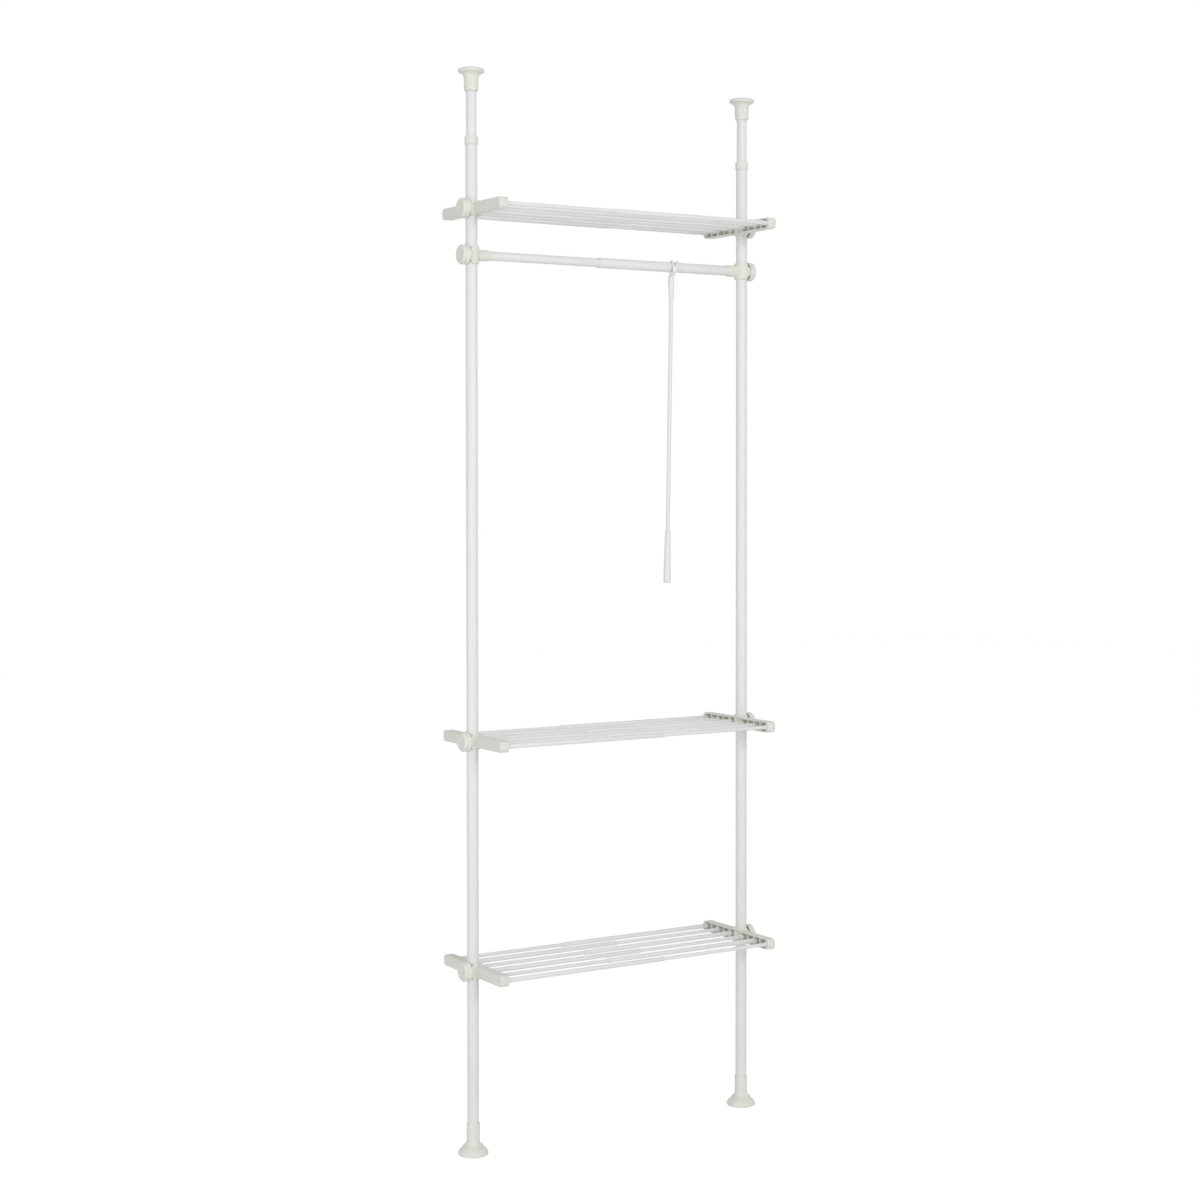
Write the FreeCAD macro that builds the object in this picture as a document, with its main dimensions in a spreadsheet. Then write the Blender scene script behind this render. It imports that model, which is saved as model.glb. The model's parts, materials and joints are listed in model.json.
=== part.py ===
import FreeCAD, Part

import math
import os

import Sketcher

# Tension pole shelf unit: two telescopic poles stand between floor and ceiling. Three slatted
# shelves and a hanging rail clamp to them, and a hook wand hangs from the rail.
# Millimetres. +X runs along the shelves, +Y from front to back and +Z up. The origin is on
# the floor, midway between the poles. Every clamp part is drawn for the left pole, about the
# pole's axis at the clamp's height, with +X towards the middle of the unit. The right pole
# takes the same part turned half round.

SIZES = (
    # The whole unit
    ("pole_spacing", 691.0),
    ("unit_height", 2270.0),
    ("mould_wall", 2.5),
    ("seat_clearance", 0.05),
    ("slide_clearance", 0.1),
    ("working_gap", 0.3),
    # Pole tubes
    ("lower_tube_dia", 25.0),
    ("lower_tube_wall", 1.0),
    ("upper_tube_dia", 22.0),
    ("upper_tube_wall", 1.0),
    ("upper_tube_showing", 96.0),
    ("upper_tube_engaged", 575.0),
    # Floor foot, from the floor up
    ("sole_dia", 56.0),
    ("sole_thickness", 3.0),
    ("sole_proud", 1.0),
    ("foot_dia", 64.0),
    ("foot_edge_chamfer", 1.8),
    ("foot_edge_height", 4.5),
    ("foot_cone_height", 13.0),
    ("foot_lip_dia", 42.5),
    ("foot_lip_thickness", 1.6),
    ("foot_crease", 1.5),
    ("foot_floor", 3.0),
    ("foot_sleeve_dia", 28.2),
    ("foot_flare", 6.0),
    ("foot_height", 67.0),
    ("foot_mouth_chamfer", 0.7),
    # Collar on the thick tube's mouth
    ("collar_dia", 28.4),
    ("collar_height", 17.0),
    ("collar_lip", 2.0),
    ("collar_chamfer", 0.6),
    # Expander plug in the thin tube's lower end
    ("plug_head_length", 32.0),
    ("plug_shank_length", 22.0),
    ("plug_bore", 8.0),
    ("plug_slot_width", 2.0),
    ("plug_slot_length", 22.0),
    ("plug_slots", 3),
    # Ceiling cap, from the ceiling down
    ("ceiling_pad_dia", 50.0),
    ("ceiling_pad_thickness", 3.0),
    ("ceiling_pad_proud", 1.0),
    ("cap_dia", 55.5),
    ("cap_rim", 7.0),
    ("cap_rim_chamfer", 1.6),
    ("cap_flare", 9.0),
    ("cap_flare_knee", 3.0),
    ("cap_roof", 4.0),
    ("cap_neck_dia", 31.0),
    ("cap_mouth_dia", 29.4),
    ("cap_height", 46.0),
    ("cap_mouth_chamfer", 1.2),
    ("flute_width", 2.4),
    ("flute_depth", 0.9),
    ("flutes", 16),
    ("flute_length", 20.0),
    # Jack: the cap's screw turns in an insert in the thin tube's upper end
    ("jack_screw_dia", 12.0),
    ("jack_screw_length", 48.0),
    ("jack_travel", 8.0),
    ("insert_flange", 2.0),
    ("insert_length", 30.0),
    # Shelf arm
    ("top_shelf_drop", 147.0),
    ("middle_shelf_height", 870.0),
    ("lower_shelf_height", 388.0),
    ("arm_length", 252.0),
    ("arm_height", 24.0),
    ("arm_back", 3.0),
    ("arm_front", 17.0),
    ("arm_corner", 8.0),
    ("gusset_round", 80.0),
    ("arm_rib", 3.0),
    ("socket_boss_dia", 13.0),
    ("socket_floor", 2.5),
    # Clamp hub, shared by the arms and the rail brackets
    ("hub_dia", 33.0),
    ("hub_front", 20.0),
    ("hub_chamfer", 1.5),
    ("hub_shoulder_dia", 37.0),
    ("hub_shoulder_end", 12.0),
    ("prong_end", 24.0),
    ("saddle_wrap", 5.5),
    ("pivot_dia", 8.0),
    ("pivot_length", 1.6),
    ("knob_dia", 42.8),
    ("knob_rim", 13.0),
    ("knob_waist_place", 19.5),
    ("knob_waist_dia", 40.2),
    ("knob_shoulder_place", 24.0),
    ("knob_shoulder_dia", 41.8),
    ("knob_crown_dia", 33.0),
    ("knob_floor", 3.4),
    # Shelf bars
    ("bar_pitch", 47.2),
    ("thick_bar_dia", 10.0),
    ("thin_bar_dia", 8.0),
    ("bar_wall", 0.8),
    ("bar_reach", 56.0),
    ("top_bar_reach", 66.0),
    ("thin_bar_length", 410.0),
    # Hanging rail and its brackets
    ("rail_drop", 96.4),
    ("bracket_hub_back", 4.0),
    ("bracket_hub_front", 18.0),
    ("bracket_chamfer", 3.0),
    ("bracket_socket_end", 34.0),
    ("bracket_mouth", 41.0),
    ("bracket_wall", 1.95),
    ("bracket_mouth_wall", 0.8),
    ("bracket_socket_floor", 16.0),
    ("thin_rail_dia", 19.0),
    ("thin_rail_wall", 1.0),
    ("thin_rail_length", 422.0),
    ("thick_rail_dia", 22.0),
    ("thick_rail_wall", 1.2),
    ("thick_rail_reach", 36.0),
    # Hook wand
    ("wand_place", 164.6),
    ("wand_yaw", -20.0),
    ("wand_lean", 1.0),
    ("hook_dia", 34.0),
    ("hook_lift", 1.6),
    ("finger_thickness", 4.0),
    ("finger_width", 5.2),
    ("finger_spacing", 12.0),
    ("finger_tail", 4.0),
    ("fork_drop", 7.0),
    ("neck_drop", 15.0),
    ("neck_offset", 2.0),
    ("neck_width", 8.0),
    ("neck_depth", 5.0),
    ("neck_sink", 2.0),
    ("shaft_offset", 8.0),
    ("shaft_forward", 2.9),
    ("ferrule_dia", 14.0),
    ("ferrule_tip_dia", 10.4),
    ("ferrule_drop", 24.0),
    ("ferrule_length", 48.0),
    ("ferrule_chamfer", 1.2),
    ("shaft_dia", 9.0),
    ("shaft_length", 568.0),
    ("shaft_seat", 30.0),
    ("grip_neck_dia", 11.7),
    ("grip_dia", 16.0),
    ("grip_length", 116.0),
    ("grip_swell", 93.0),
    ("grip_end_chamfer", 3.0),
)

# The heights that the pieces share
TUBE_BOTTOM = "Size.sole_thickness + Size.foot_floor"
CAP_BOTTOM = "Size.unit_height - Size.cap_height"
TUBE_TOP = "%s - Size.upper_tube_showing" % CAP_BOTTOM
TOP_SHELF = "%s - Size.top_shelf_drop" % TUBE_TOP
RAIL = "%s - Size.rail_drop" % TOP_SHELF

# Each shelf's name, height and thick tubes' reach past the middle, and whether it is turned over
SHELVES = (
    ("top", TOP_SHELF, "Size.top_bar_reach", True),
    ("middle", "Size.middle_shelf_height", "Size.bar_reach", False),
    ("lower", "Size.lower_shelf_height", "Size.bar_reach", False),
)
SIDES = (("left", -1), ("right", 1))

doc = FreeCAD.newDocument("TensionPoleShelfUnit")
sheet = doc.addObject("Spreadsheet::Sheet", "Size")
pieces = []


def fill_sheet():
    """Write each driving dimension and its name into the spreadsheet."""
    for row, (name, number) in enumerate(SIZES, start=1):
        sheet.set("A%d" % row, name)
        sheet.set("B%d" % row, str(number))
        sheet.setAlias("B%d" % row, name)
    doc.recompute()


def value(expression):
    """The number that an expression over the sheet gives now."""
    return float(sheet.evalExpression(expression))


# ---- Bodies, sketches and features -------------------------------------------------------


def new_body(label, several=False):
    """An empty body that becomes one node; several allows separate solids in it."""
    body = doc.addObject("PartDesign::Body", label)
    body.Label = label
    body.AllowCompound = several
    pieces.append(body)
    return body


def origin_part(body, role):
    """A plane or an axis of the body's own origin, such as XZ_Plane or Z_Axis."""
    return next(part for part in body.Origin.OriginFeatures if part.Role == role)


def new_sketch(body, role, offset="0", name="Profile"):
    """A sketch on one of the body's origin planes, moved along its normal by offset."""
    sketch = body.newObject("Sketcher::SketchObject", name)
    sketch.AttachmentSupport = (origin_part(body, role), [""])
    sketch.MapMode = "FlatFace"
    sketch.setExpression(".AttachmentOffset.Base.z", offset)
    return sketch


def tie(sketch, kind, places, expression):
    """Add one dimension to the sketch and bind it to the sheet."""
    number = sketch.addConstraint(Sketcher.Constraint(kind, *places, value(expression)))
    sketch.setExpression("Constraints[%d]" % number, expression)


def minor_arc(start, end, radius):
    """The shorter arc; its centre is left of the way from start to end if radius > 0."""
    chord = end - start
    rise = math.sqrt(max(radius * radius - chord.Length ** 2 / 4, 0.0))
    across = FreeCAD.Vector(-chord.y, chord.x, 0).normalize()
    side = math.copysign(1.0, radius)
    centre = (start + end) * 0.5 + across * rise * side
    first, last = (start, end) if side > 0 else (end, start)
    angles = [math.atan2(point.y - centre.y, point.x - centre.x) for point in (first, last)]
    circle = Part.Circle(centre, FreeCAD.Vector(0, 0, 1), abs(radius))
    return Part.ArcOfCircle(circle, angles[0], angles[1] + (angles[1] < angles[0]) * math.tau)


def draw_outline(sketch, points):
    """Close a loop of sides through points (x, y), or (x, y, radius) where an arc arrives."""
    corners = [FreeCAD.Vector(value(point[0]), value(point[1]), 0) for point in points]
    ends = []
    for index, point in enumerate(points):
        start, end = corners[index - 1], corners[index]
        if len(point) == 3:
            radius = value(point[2])
            side = sketch.addGeometry(minor_arc(start, end, radius), False)
            ends.append((side, 1, 2) if radius > 0 else (side, 2, 1))
            tie(sketch, "Radius", (side,), "abs(%s)" % point[2])
        else:
            side = sketch.addGeometry(Part.LineSegment(start, end), False)
            ends.append((side, 1, 2))
    for index, (side, begins, finishes) in enumerate(ends):
        following, next_begins = ends[(index + 1) % len(ends)][:2]
        joint = Sketcher.Constraint("Coincident", side, finishes, following, next_begins)
        sketch.addConstraint(joint)
        tie(sketch, "DistanceX", (-1, 1, side, finishes), points[index][0])
        tie(sketch, "DistanceY", (-1, 1, side, finishes), points[index][1])


def draw_circle(sketch, across, up, diameter):
    """A circle about a point of the sketch."""
    centre = FreeCAD.Vector(value(across), value(up), 0)
    circle = Part.Circle(centre, FreeCAD.Vector(0, 0, 1), value(diameter) / 2)
    index = sketch.addGeometry(circle, False)
    tie(sketch, "DistanceX", (-1, 1, index, 3), across)
    tie(sketch, "DistanceY", (-1, 1, index, 3), up)
    tie(sketch, "Diameter", (index,), diameter)


def draw_box(sketch, left, bottom, right, top):
    """A rectangle between two opposite corners."""
    draw_outline(sketch, ((left, bottom), (right, bottom), (right, top), (left, top)))


def add_feature(body, kind, name, sketch):
    """A feature of this kind on a sketch, as the body's new tip."""
    feature = body.newObject(kind, name)
    feature.Profile = sketch
    sketch.Visibility = False
    body.Tip = feature
    return feature


def pad(body, sketch, length, symmetric=False):
    """Raise the sketch along its normal."""
    feature = add_feature(body, "PartDesign::Pad", "Pad", sketch)
    feature.setExpression("Length", length)
    feature.SideType = "Symmetric" if symmetric else "One side"
    return feature


def pocket(body, sketch, depth=None):
    """Cut against the sketch's normal by depth, or right through both ways."""
    feature = add_feature(body, "PartDesign::Pocket", "Pocket", sketch)
    if depth is None:
        feature.Type = "ThroughAll"
        feature.SideType = "Symmetric"
    else:
        feature.setExpression("Length", depth)
    return feature


def revolve(body, points, plane, axis, kind="PartDesign::Revolution"):
    """Turn an outline once round an axis, to add it or, as a Groove, to cut it."""
    sketch = new_sketch(body, plane)
    draw_outline(sketch, points)
    feature = add_feature(body, kind, "Turned", sketch)
    feature.ReferenceAxis = (origin_part(body, axis), [""])
    feature.Angle = 360
    return feature


def repeat_along(body, feature, plane_axis, spacing, count, reverse=False):
    """Copies of a feature in a row, spacing apart."""
    row = body.newObject("PartDesign::LinearPattern", "Row")
    row.Originals = [feature]
    row.Direction = (origin_part(body, plane_axis), [""])
    row.Reversed = reverse
    row.Occurrences = count
    row.setExpression("Length", "(%d) * (%s)" % (count - 1, spacing))
    body.Tip = row
    return row


def repeat_round(body, feature, axis, count):
    """Copies of a feature evenly spaced round an axis."""
    ring = body.newObject("PartDesign::PolarPattern", "Ring")
    ring.Originals = [feature]
    ring.Axis = (origin_part(body, axis), [""])
    ring.Angle = 360
    ring.setExpression("Occurrences", count)
    body.Tip = ring
    return ring


def place(piece, across="0", back="0", up="0", turned=0, flipped=False):
    """Move a finished piece to its place in the unit."""
    turn = FreeCAD.Rotation(FreeCAD.Vector(0, 0, 1), turned)
    flip = FreeCAD.Rotation(FreeCAD.Vector(1, 0, 0), 180 if flipped else 0)
    piece.Placement = FreeCAD.Placement(FreeCAD.Vector(), turn.multiply(flip))
    piece.setExpression(".Placement.Base.x", across)
    piece.setExpression(".Placement.Base.y", back)
    piece.setExpression(".Placement.Base.z", up)


def place_on_pole(piece, side, up, flipped=False):
    """Put a piece on the left pole, or turned half round on the right one."""
    turned = 180 if side > 0 else 0
    place(piece, "%d * Size.pole_spacing / 2" % side, "0", up, turned, flipped)


def ring_tube(label, outer, inner, length, plane="XY_Plane", start="0"):
    """A straight round tube from start along the plane's normal."""
    body = new_body(label)
    sketch = new_sketch(body, plane, start)
    draw_circle(sketch, "0", "0", outer)
    draw_circle(sketch, "0", "0", inner)
    pad(body, sketch, length)
    return body


# ---- The poles ---------------------------------------------------------------------------

LOWER_BORE = "Size.lower_tube_dia - 2 * Size.lower_tube_wall"
UPPER_BORE = "Size.upper_tube_dia - 2 * Size.upper_tube_wall"
CAP_CEILING = "Size.unit_height - Size.ceiling_pad_thickness - Size.cap_roof"
INSERT_TOP = "%s - Size.jack_travel - Size.working_gap" % CAP_CEILING
UPPER_TOP = "%s - Size.insert_flange" % INSERT_TOP
UPPER_BOTTOM = "%s - Size.upper_tube_engaged" % TUBE_TOP


def half(expression):
    """Half of an expression, such as a radius from a diameter."""
    return "(%s) / 2" % expression


def foot(label):
    """The moulded floor foot: disc, lip, flare and sleeve, with the tube's seat inside."""
    body = new_body(label)
    bore = half("Size.lower_tube_dia + 2 * Size.seat_clearance")
    recess = half("Size.sole_dia + 2 * Size.seat_clearance")
    disc = half("Size.foot_dia")
    lip = half("Size.foot_lip_dia")
    sleeve = half("Size.foot_sleeve_dia")
    cone_top = "Size.sole_proud + Size.foot_edge_height + Size.foot_cone_height"
    lip_top = "%s + Size.foot_lip_thickness" % cone_top
    outline = (
        ("0", "Size.sole_thickness"),
        (recess, "Size.sole_thickness"),
        (recess, "Size.sole_proud"),
        ("%s - Size.foot_edge_chamfer" % disc, "Size.sole_proud"),
        (disc, "Size.sole_proud + Size.foot_edge_chamfer"),
        (disc, "Size.sole_proud + Size.foot_edge_height"),
        ("%s - Size.foot_crease" % lip, cone_top),
        (lip, cone_top),
        (lip, lip_top),
        (sleeve, "%s + Size.foot_flare" % lip_top),
        (sleeve, "Size.foot_height - Size.foot_mouth_chamfer"),
        ("%s - Size.foot_mouth_chamfer" % sleeve, "Size.foot_height"),
        (bore, "Size.foot_height"),
        (bore, TUBE_BOTTOM),
        ("0", TUBE_BOTTOM),
    )
    revolve(body, outline, "XZ_Plane", "Z_Axis")
    return body


def disc(label, diameter, height):
    """A plain round pad."""
    body = new_body(label)
    sketch = new_sketch(body, "XY_Plane")
    draw_circle(sketch, "0", "0", diameter)
    pad(body, sketch, height)
    return body


def collar(label):
    """The ring over the thick tube's mouth, with a lip that guides the thin tube."""
    body = new_body(label)
    outside = half("Size.collar_dia")
    seat = half("Size.lower_tube_dia + 2 * Size.seat_clearance")
    guide = half("Size.upper_tube_dia + 2 * Size.slide_clearance")
    skirt = "-(Size.collar_height - Size.collar_lip)"
    outline = (
        (seat, skirt),
        (outside, skirt),
        (outside, "Size.collar_lip - Size.collar_chamfer"),
        ("%s - Size.collar_chamfer" % outside, "Size.collar_lip"),
        (guide, "Size.collar_lip"),
        (guide, "0"),
        (seat, "0"),
    )
    revolve(body, outline, "XZ_Plane", "Z_Axis")
    return body


def lock_plug(label):
    """The expander: a slotted head that grips the thick tube and a shank in the thin one."""
    body = new_body(label)
    head = half("%s - 2 * Size.slide_clearance" % LOWER_BORE)
    shank = half("%s - 2 * Size.seat_clearance" % UPPER_BORE)
    bore = half("Size.plug_bore")
    outline = (
        (bore, "-Size.plug_head_length"),
        (head, "-Size.plug_head_length"),
        (head, "0"),
        (shank, "0"),
        (shank, "Size.plug_shank_length"),
        (bore, "Size.plug_shank_length"),
    )
    revolve(body, outline, "XZ_Plane", "Z_Axis")
    doc.recompute()
    slot = new_sketch(body, "YZ_Plane", "0", "JawSlot")
    edge = half("Size.plug_slot_width")
    draw_box(
        slot,
        "-(%s)" % edge,
        "-Size.plug_head_length - Size.working_gap",
        edge,
        "-Size.plug_head_length + Size.plug_slot_length",
    )
    cut = add_feature(body, "PartDesign::Pocket", "JawCut", slot)
    cut.setExpression("Length", head)
    cut.Reversed = True
    repeat_round(body, cut, "Z_Axis", "Size.plug_slots")
    return body


def jack_insert(label):
    """The flanged insert in the thin tube's upper end, in which the cap's screw turns."""
    body = new_body(label)
    flange = half("Size.upper_tube_dia")
    shank = half("%s - 2 * Size.seat_clearance" % UPPER_BORE)
    bore = half("Size.jack_screw_dia + 2 * Size.slide_clearance")
    outline = (
        (bore, "-Size.insert_length"),
        (shank, "-Size.insert_length"),
        (shank, "0"),
        (flange, "0"),
        (flange, "Size.insert_flange"),
        (bore, "Size.insert_flange"),
    )
    revolve(body, outline, "XZ_Plane", "Z_Axis")
    return body


def cut_flutes(body, neck, top):
    """Upright finger grooves round the cap's neck, from top down."""
    sketch = new_sketch(body, "XY_Plane", top, "Flute")
    edge = half("Size.flute_width")
    outline = (
        ("%s - Size.flute_depth" % neck, "0"),
        ("%s + Size.flute_depth" % neck, "-2 * (%s)" % edge),
        ("%s + Size.flute_depth" % neck, "2 * (%s)" % edge),
    )
    draw_outline(sketch, outline)
    groove = pocket(body, sketch, "Size.flute_length")
    repeat_round(body, groove, "Z_Axis", "Size.flutes")


def ceiling_cap(label):
    """The bell on the ceiling: a fluted neck, a flare, a rim and the jack's screw inside."""
    body = new_body(label)
    bore = half("Size.upper_tube_dia + 2 * Size.slide_clearance")
    recess = half("Size.ceiling_pad_dia + 2 * Size.slide_clearance")
    screw = half("Size.jack_screw_dia")
    rim = half("Size.cap_dia")
    neck = half("Size.cap_neck_dia")
    mouth = half("Size.cap_mouth_dia")
    top = "Size.cap_height - Size.ceiling_pad_proud"
    recess_floor = "Size.cap_height - Size.ceiling_pad_thickness"
    roof = "%s - Size.cap_roof" % recess_floor
    rim_bottom = "%s - Size.cap_rim" % top
    flare_bottom = "%s - Size.cap_flare" % rim_bottom
    outline = (
        (bore, "0"),
        ("%s - Size.cap_mouth_chamfer" % mouth, "0"),
        (mouth, "Size.cap_mouth_chamfer"),
        (neck, flare_bottom),
        ("%s + Size.cap_flare_knee" % neck, "%s - Size.cap_flare_knee" % rim_bottom),
        ("%s - Size.cap_rim_chamfer" % rim, rim_bottom),
        (rim, "%s + Size.cap_rim_chamfer" % rim_bottom),
        (rim, top),
        (recess, top),
        (recess, recess_floor),
        ("0", recess_floor),
        ("0", "%s - Size.jack_screw_length" % roof),
        (screw, "%s - Size.jack_screw_length" % roof),
        (screw, roof),
        (bore, roof),
    )
    revolve(body, outline, "XZ_Plane", "Z_Axis")
    doc.recompute()
    cut_flutes(body, neck, flare_bottom)
    return body


def pole(side_name, side):
    """One telescopic pole, from its rubber sole up to its ceiling pad."""
    name = side_name + "_%s"
    lower_length = "%s - (%s)" % (TUBE_TOP, TUBE_BOTTOM)
    upper_length = "%s - (%s)" % (UPPER_TOP, UPPER_BOTTOM)
    placed = (
        (disc(name % "foot_sole", "Size.sole_dia", "Size.sole_thickness"), "0"),
        (foot(name % "foot"), "0"),
        (
            ring_tube(name % "lower_tube", "Size.lower_tube_dia", LOWER_BORE, lower_length),
            TUBE_BOTTOM,
        ),
        (collar(name % "collar"), TUBE_TOP),
        (
            ring_tube(name % "upper_tube", "Size.upper_tube_dia", UPPER_BORE, upper_length),
            UPPER_BOTTOM,
        ),
        (lock_plug(name % "lock_plug"), UPPER_BOTTOM),
        (jack_insert(name % "jack_insert"), UPPER_TOP),
        (ceiling_cap(name % "ceiling_cap"), CAP_BOTTOM),
        (
            disc(name % "ceiling_pad", "Size.ceiling_pad_dia", "Size.ceiling_pad_thickness"),
            "Size.unit_height - Size.ceiling_pad_thickness",
        ),
    )
    for piece, up in placed:
        place_on_pole(piece, side, up)


# ---- The clamp: slot, saddle and knob ----------------------------------------------------

SEAT_RADIUS = "Size.lower_tube_dia / 2 + Size.slide_clearance"
KNOB_INSIDE = "Size.prong_end + 2 * Size.working_gap"


def cut_pole_slot(body):
    """Cope the hub round the pole, open towards the outside so that it slips on."""
    sketch = new_sketch(body, "XY_Plane", "0", "PoleSlot")
    beyond = "-(Size.prong_end + Size.working_gap)"
    outline = (
        (beyond, "-(%s)" % SEAT_RADIUS),
        ("0", "-(%s)" % SEAT_RADIUS),
        (SEAT_RADIUS, "0", SEAT_RADIUS),
        ("0", SEAT_RADIUS, SEAT_RADIUS),
        (beyond, SEAT_RADIUS),
    )
    draw_outline(sketch, outline)
    pocket(body, sketch)


def saddle(label):
    """The pressure block between the prongs, hollowed to the pole, with the knob's pivot."""
    body = new_body(label)
    width = "(%s - Size.working_gap)" % SEAT_RADIUS
    hub = "(Size.hub_dia / 2)"
    tall = "2 * (sqrt(%s * %s - %s * %s) - Size.working_gap)" % (hub, hub, width, width)
    wrap = "(%s - Size.saddle_wrap)" % SEAT_RADIUS
    horn = "sqrt((%s) * (%s) - %s * %s)" % (SEAT_RADIUS, SEAT_RADIUS, wrap, wrap)
    sketch = new_sketch(body, "XY_Plane")
    outline = (
        ("-(%s)" % KNOB_INSIDE, "-" + width),
        ("-" + wrap, "-" + width),
        ("-" + wrap, "-" + horn),
        ("-" + wrap, horn, "-(%s)" % SEAT_RADIUS),
        ("-" + wrap, width),
        ("-(%s)" % KNOB_INSIDE, width),
    )
    draw_outline(sketch, outline)
    pad(body, sketch, tall, symmetric=True)
    pivot = new_sketch(body, "YZ_Plane", "-(%s) - Size.pivot_length" % KNOB_INSIDE, "Pivot")
    draw_circle(pivot, "0", "0", "Size.pivot_dia")
    pad(body, pivot, "Size.pivot_length")
    return body


def knob(label):
    """The screw cap over the prongs: rim, waist and crown, with the saddle's pivot inside."""
    body = new_body(label)
    bore = half("Size.hub_dia + 2 * Size.working_gap")
    outside = half("Size.knob_dia")
    waist = half("Size.knob_waist_dia")
    shoulder = half("Size.knob_shoulder_dia")
    crown = half("Size.knob_crown_dia")
    socket = half("Size.pivot_dia + 2 * Size.seat_clearance")
    face = "-(%s + Size.knob_floor)" % KNOB_INSIDE
    inside = "-(%s)" % KNOB_INSIDE
    socket_end = "%s - Size.pivot_length - Size.slide_clearance" % inside
    outline = (
        ("-Size.knob_rim", bore),
        ("-Size.knob_rim", outside),
        ("-Size.knob_waist_place", waist),
        ("-Size.knob_shoulder_place", shoulder),
        (face, crown),
        (face, "0"),
        (socket_end, "0"),
        (socket_end, socket),
        (inside, socket),
        (inside, bore),
    )
    revolve(body, outline, "XZ_Plane", "X_Axis")
    return body


def clamp(name, side, up, flipped=False):
    """The saddle and knob of one clamp."""
    place_on_pole(saddle(name + "_saddle"), side, up, flipped)
    place_on_pole(knob(name + "_knob"), side, up, flipped)


# ---- The shelves -------------------------------------------------------------------------

ARM_SOCKET = "Size.socket_floor - Size.arm_back"


def arm_outline(sketch):
    """The arm's side view: rounded ends and a concave gusset each side of the hub."""
    end = half("Size.arm_length")
    tall = half("Size.arm_height")
    hub = half("Size.hub_dia")
    reach = "sqrt(pow(%s + Size.gusset_round; 2) - pow(%s + Size.gusset_round; 2))" % (hub, tall)
    share = "%s / (%s + Size.gusset_round)" % (hub, hub)
    touch_across = "(%s) * %s" % (reach, share)
    touch_up = "(%s + Size.gusset_round) * %s" % (tall, share)
    upper = (
        (end, "%s - Size.arm_corner" % tall, None),
        ("%s - Size.arm_corner" % end, tall, "Size.arm_corner"),
        (reach, tall, None),
        (touch_across, touch_up, "-Size.gusset_round"),
        ("-(%s)" % touch_across, touch_up, None),
        ("-(%s)" % reach, tall, "-Size.gusset_round"),
        ("-(%s - Size.arm_corner)" % end, tall, None),
        ("-(%s)" % end, "%s - Size.arm_corner" % tall, "Size.arm_corner"),
    )
    lower = [("-(%s)" % x, "-(%s)" % y, radius) for x, y, radius in upper]
    corners = [corner[:2] if corner[2] is None else corner for corner in (*upper, *lower)]
    draw_outline(sketch, corners)


def cut_cells(body, direction):
    """The open cells on one side of the hub, with a rib at each bar and one midway."""
    middle = "%d * Size.bar_pitch" % direction
    rib = half("Size.arm_rib")
    far = half("Size.bar_pitch - Size.arm_rib")
    tall = "%s - Size.mould_wall" % half("Size.arm_height")
    sketch = new_sketch(body, "YZ_Plane", "Size.arm_front", "Cells")
    for near, away in ((rib, far), ("-(%s)" % far, "-(%s)" % rib)):
        draw_box(
            sketch, "%s + %s" % (middle, near), "-(%s)" % tall, "%s + %s" % (middle, away), tall
        )
    cells = pocket(body, sketch, "Size.arm_front + Size.arm_back - Size.mould_wall")
    repeat_along(body, cells, "Y_Axis", "Size.bar_pitch", 2, reverse=direction < 0)


def add_bosses(body):
    """A round boss on the rib at each of the six bars."""
    sketch = new_sketch(body, "YZ_Plane", "-Size.arm_back", "Bosses")
    draw_circle(sketch, "-2.5 * Size.bar_pitch", "0", "Size.socket_boss_dia")
    boss = pad(body, sketch, "Size.arm_back + Size.arm_front")
    repeat_along(body, boss, "Y_Axis", "Size.bar_pitch", 6)


def cut_sockets(body, diameter, first_bar):
    """Three blind sockets, at every other bar from first_bar, for the bars of one size."""
    sketch = new_sketch(body, "YZ_Plane", "Size.arm_front", "Sockets")
    draw_circle(sketch, "%s * Size.bar_pitch" % first_bar, "0", diameter)
    bore = pocket(body, sketch, "Size.arm_front - (%s)" % ARM_SOCKET)
    repeat_along(body, bore, "Y_Axis", "2 * Size.bar_pitch", 3)


def arm(label):
    """The ribbed side arm, with its clamp hub coped round the pole."""
    body = new_body(label)
    beam = new_sketch(body, "YZ_Plane", "-Size.arm_back", "Beam")
    arm_outline(beam)
    pad(body, beam, "Size.arm_back + Size.arm_front")
    doc.recompute()
    cut_cells(body, 1)
    cut_cells(body, -1)
    add_bosses(body)
    hub = half("Size.hub_dia")
    profile = (
        ("-Size.prong_end", "0"),
        ("Size.hub_front", "0"),
        ("Size.hub_front", "%s - Size.hub_chamfer" % hub),
        ("Size.hub_front - Size.hub_chamfer", hub),
        ("-Size.arm_back", hub),
        ("-Size.arm_back", half("Size.hub_shoulder_dia")),
        ("-Size.hub_shoulder_end", hub),
        ("-Size.prong_end", hub),
    )
    revolve(body, profile, "XZ_Plane", "X_Axis")
    doc.recompute()
    cut_sockets(body, "Size.thick_bar_dia + 2 * Size.seat_clearance", "-2.5")
    cut_sockets(body, "Size.thin_bar_dia + 2 * Size.seat_clearance", "-1.5")
    cut_pole_slot(body)
    return body


def bar_tubes(label, outer, length, first_bar):
    """Three tubes, at every other bar from first_bar, from their sockets' floors."""
    body = new_body(label, several=True)
    sketch = new_sketch(body, "YZ_Plane", ARM_SOCKET)
    draw_circle(sketch, "%s * Size.bar_pitch" % first_bar, "0", outer)
    draw_circle(sketch, "%s * Size.bar_pitch" % first_bar, "0", "%s - 2 * Size.bar_wall" % outer)
    tube = pad(body, sketch, length)
    doc.recompute()
    repeat_along(body, tube, "Y_Axis", "2 * Size.bar_pitch", 3)
    return body


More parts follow.
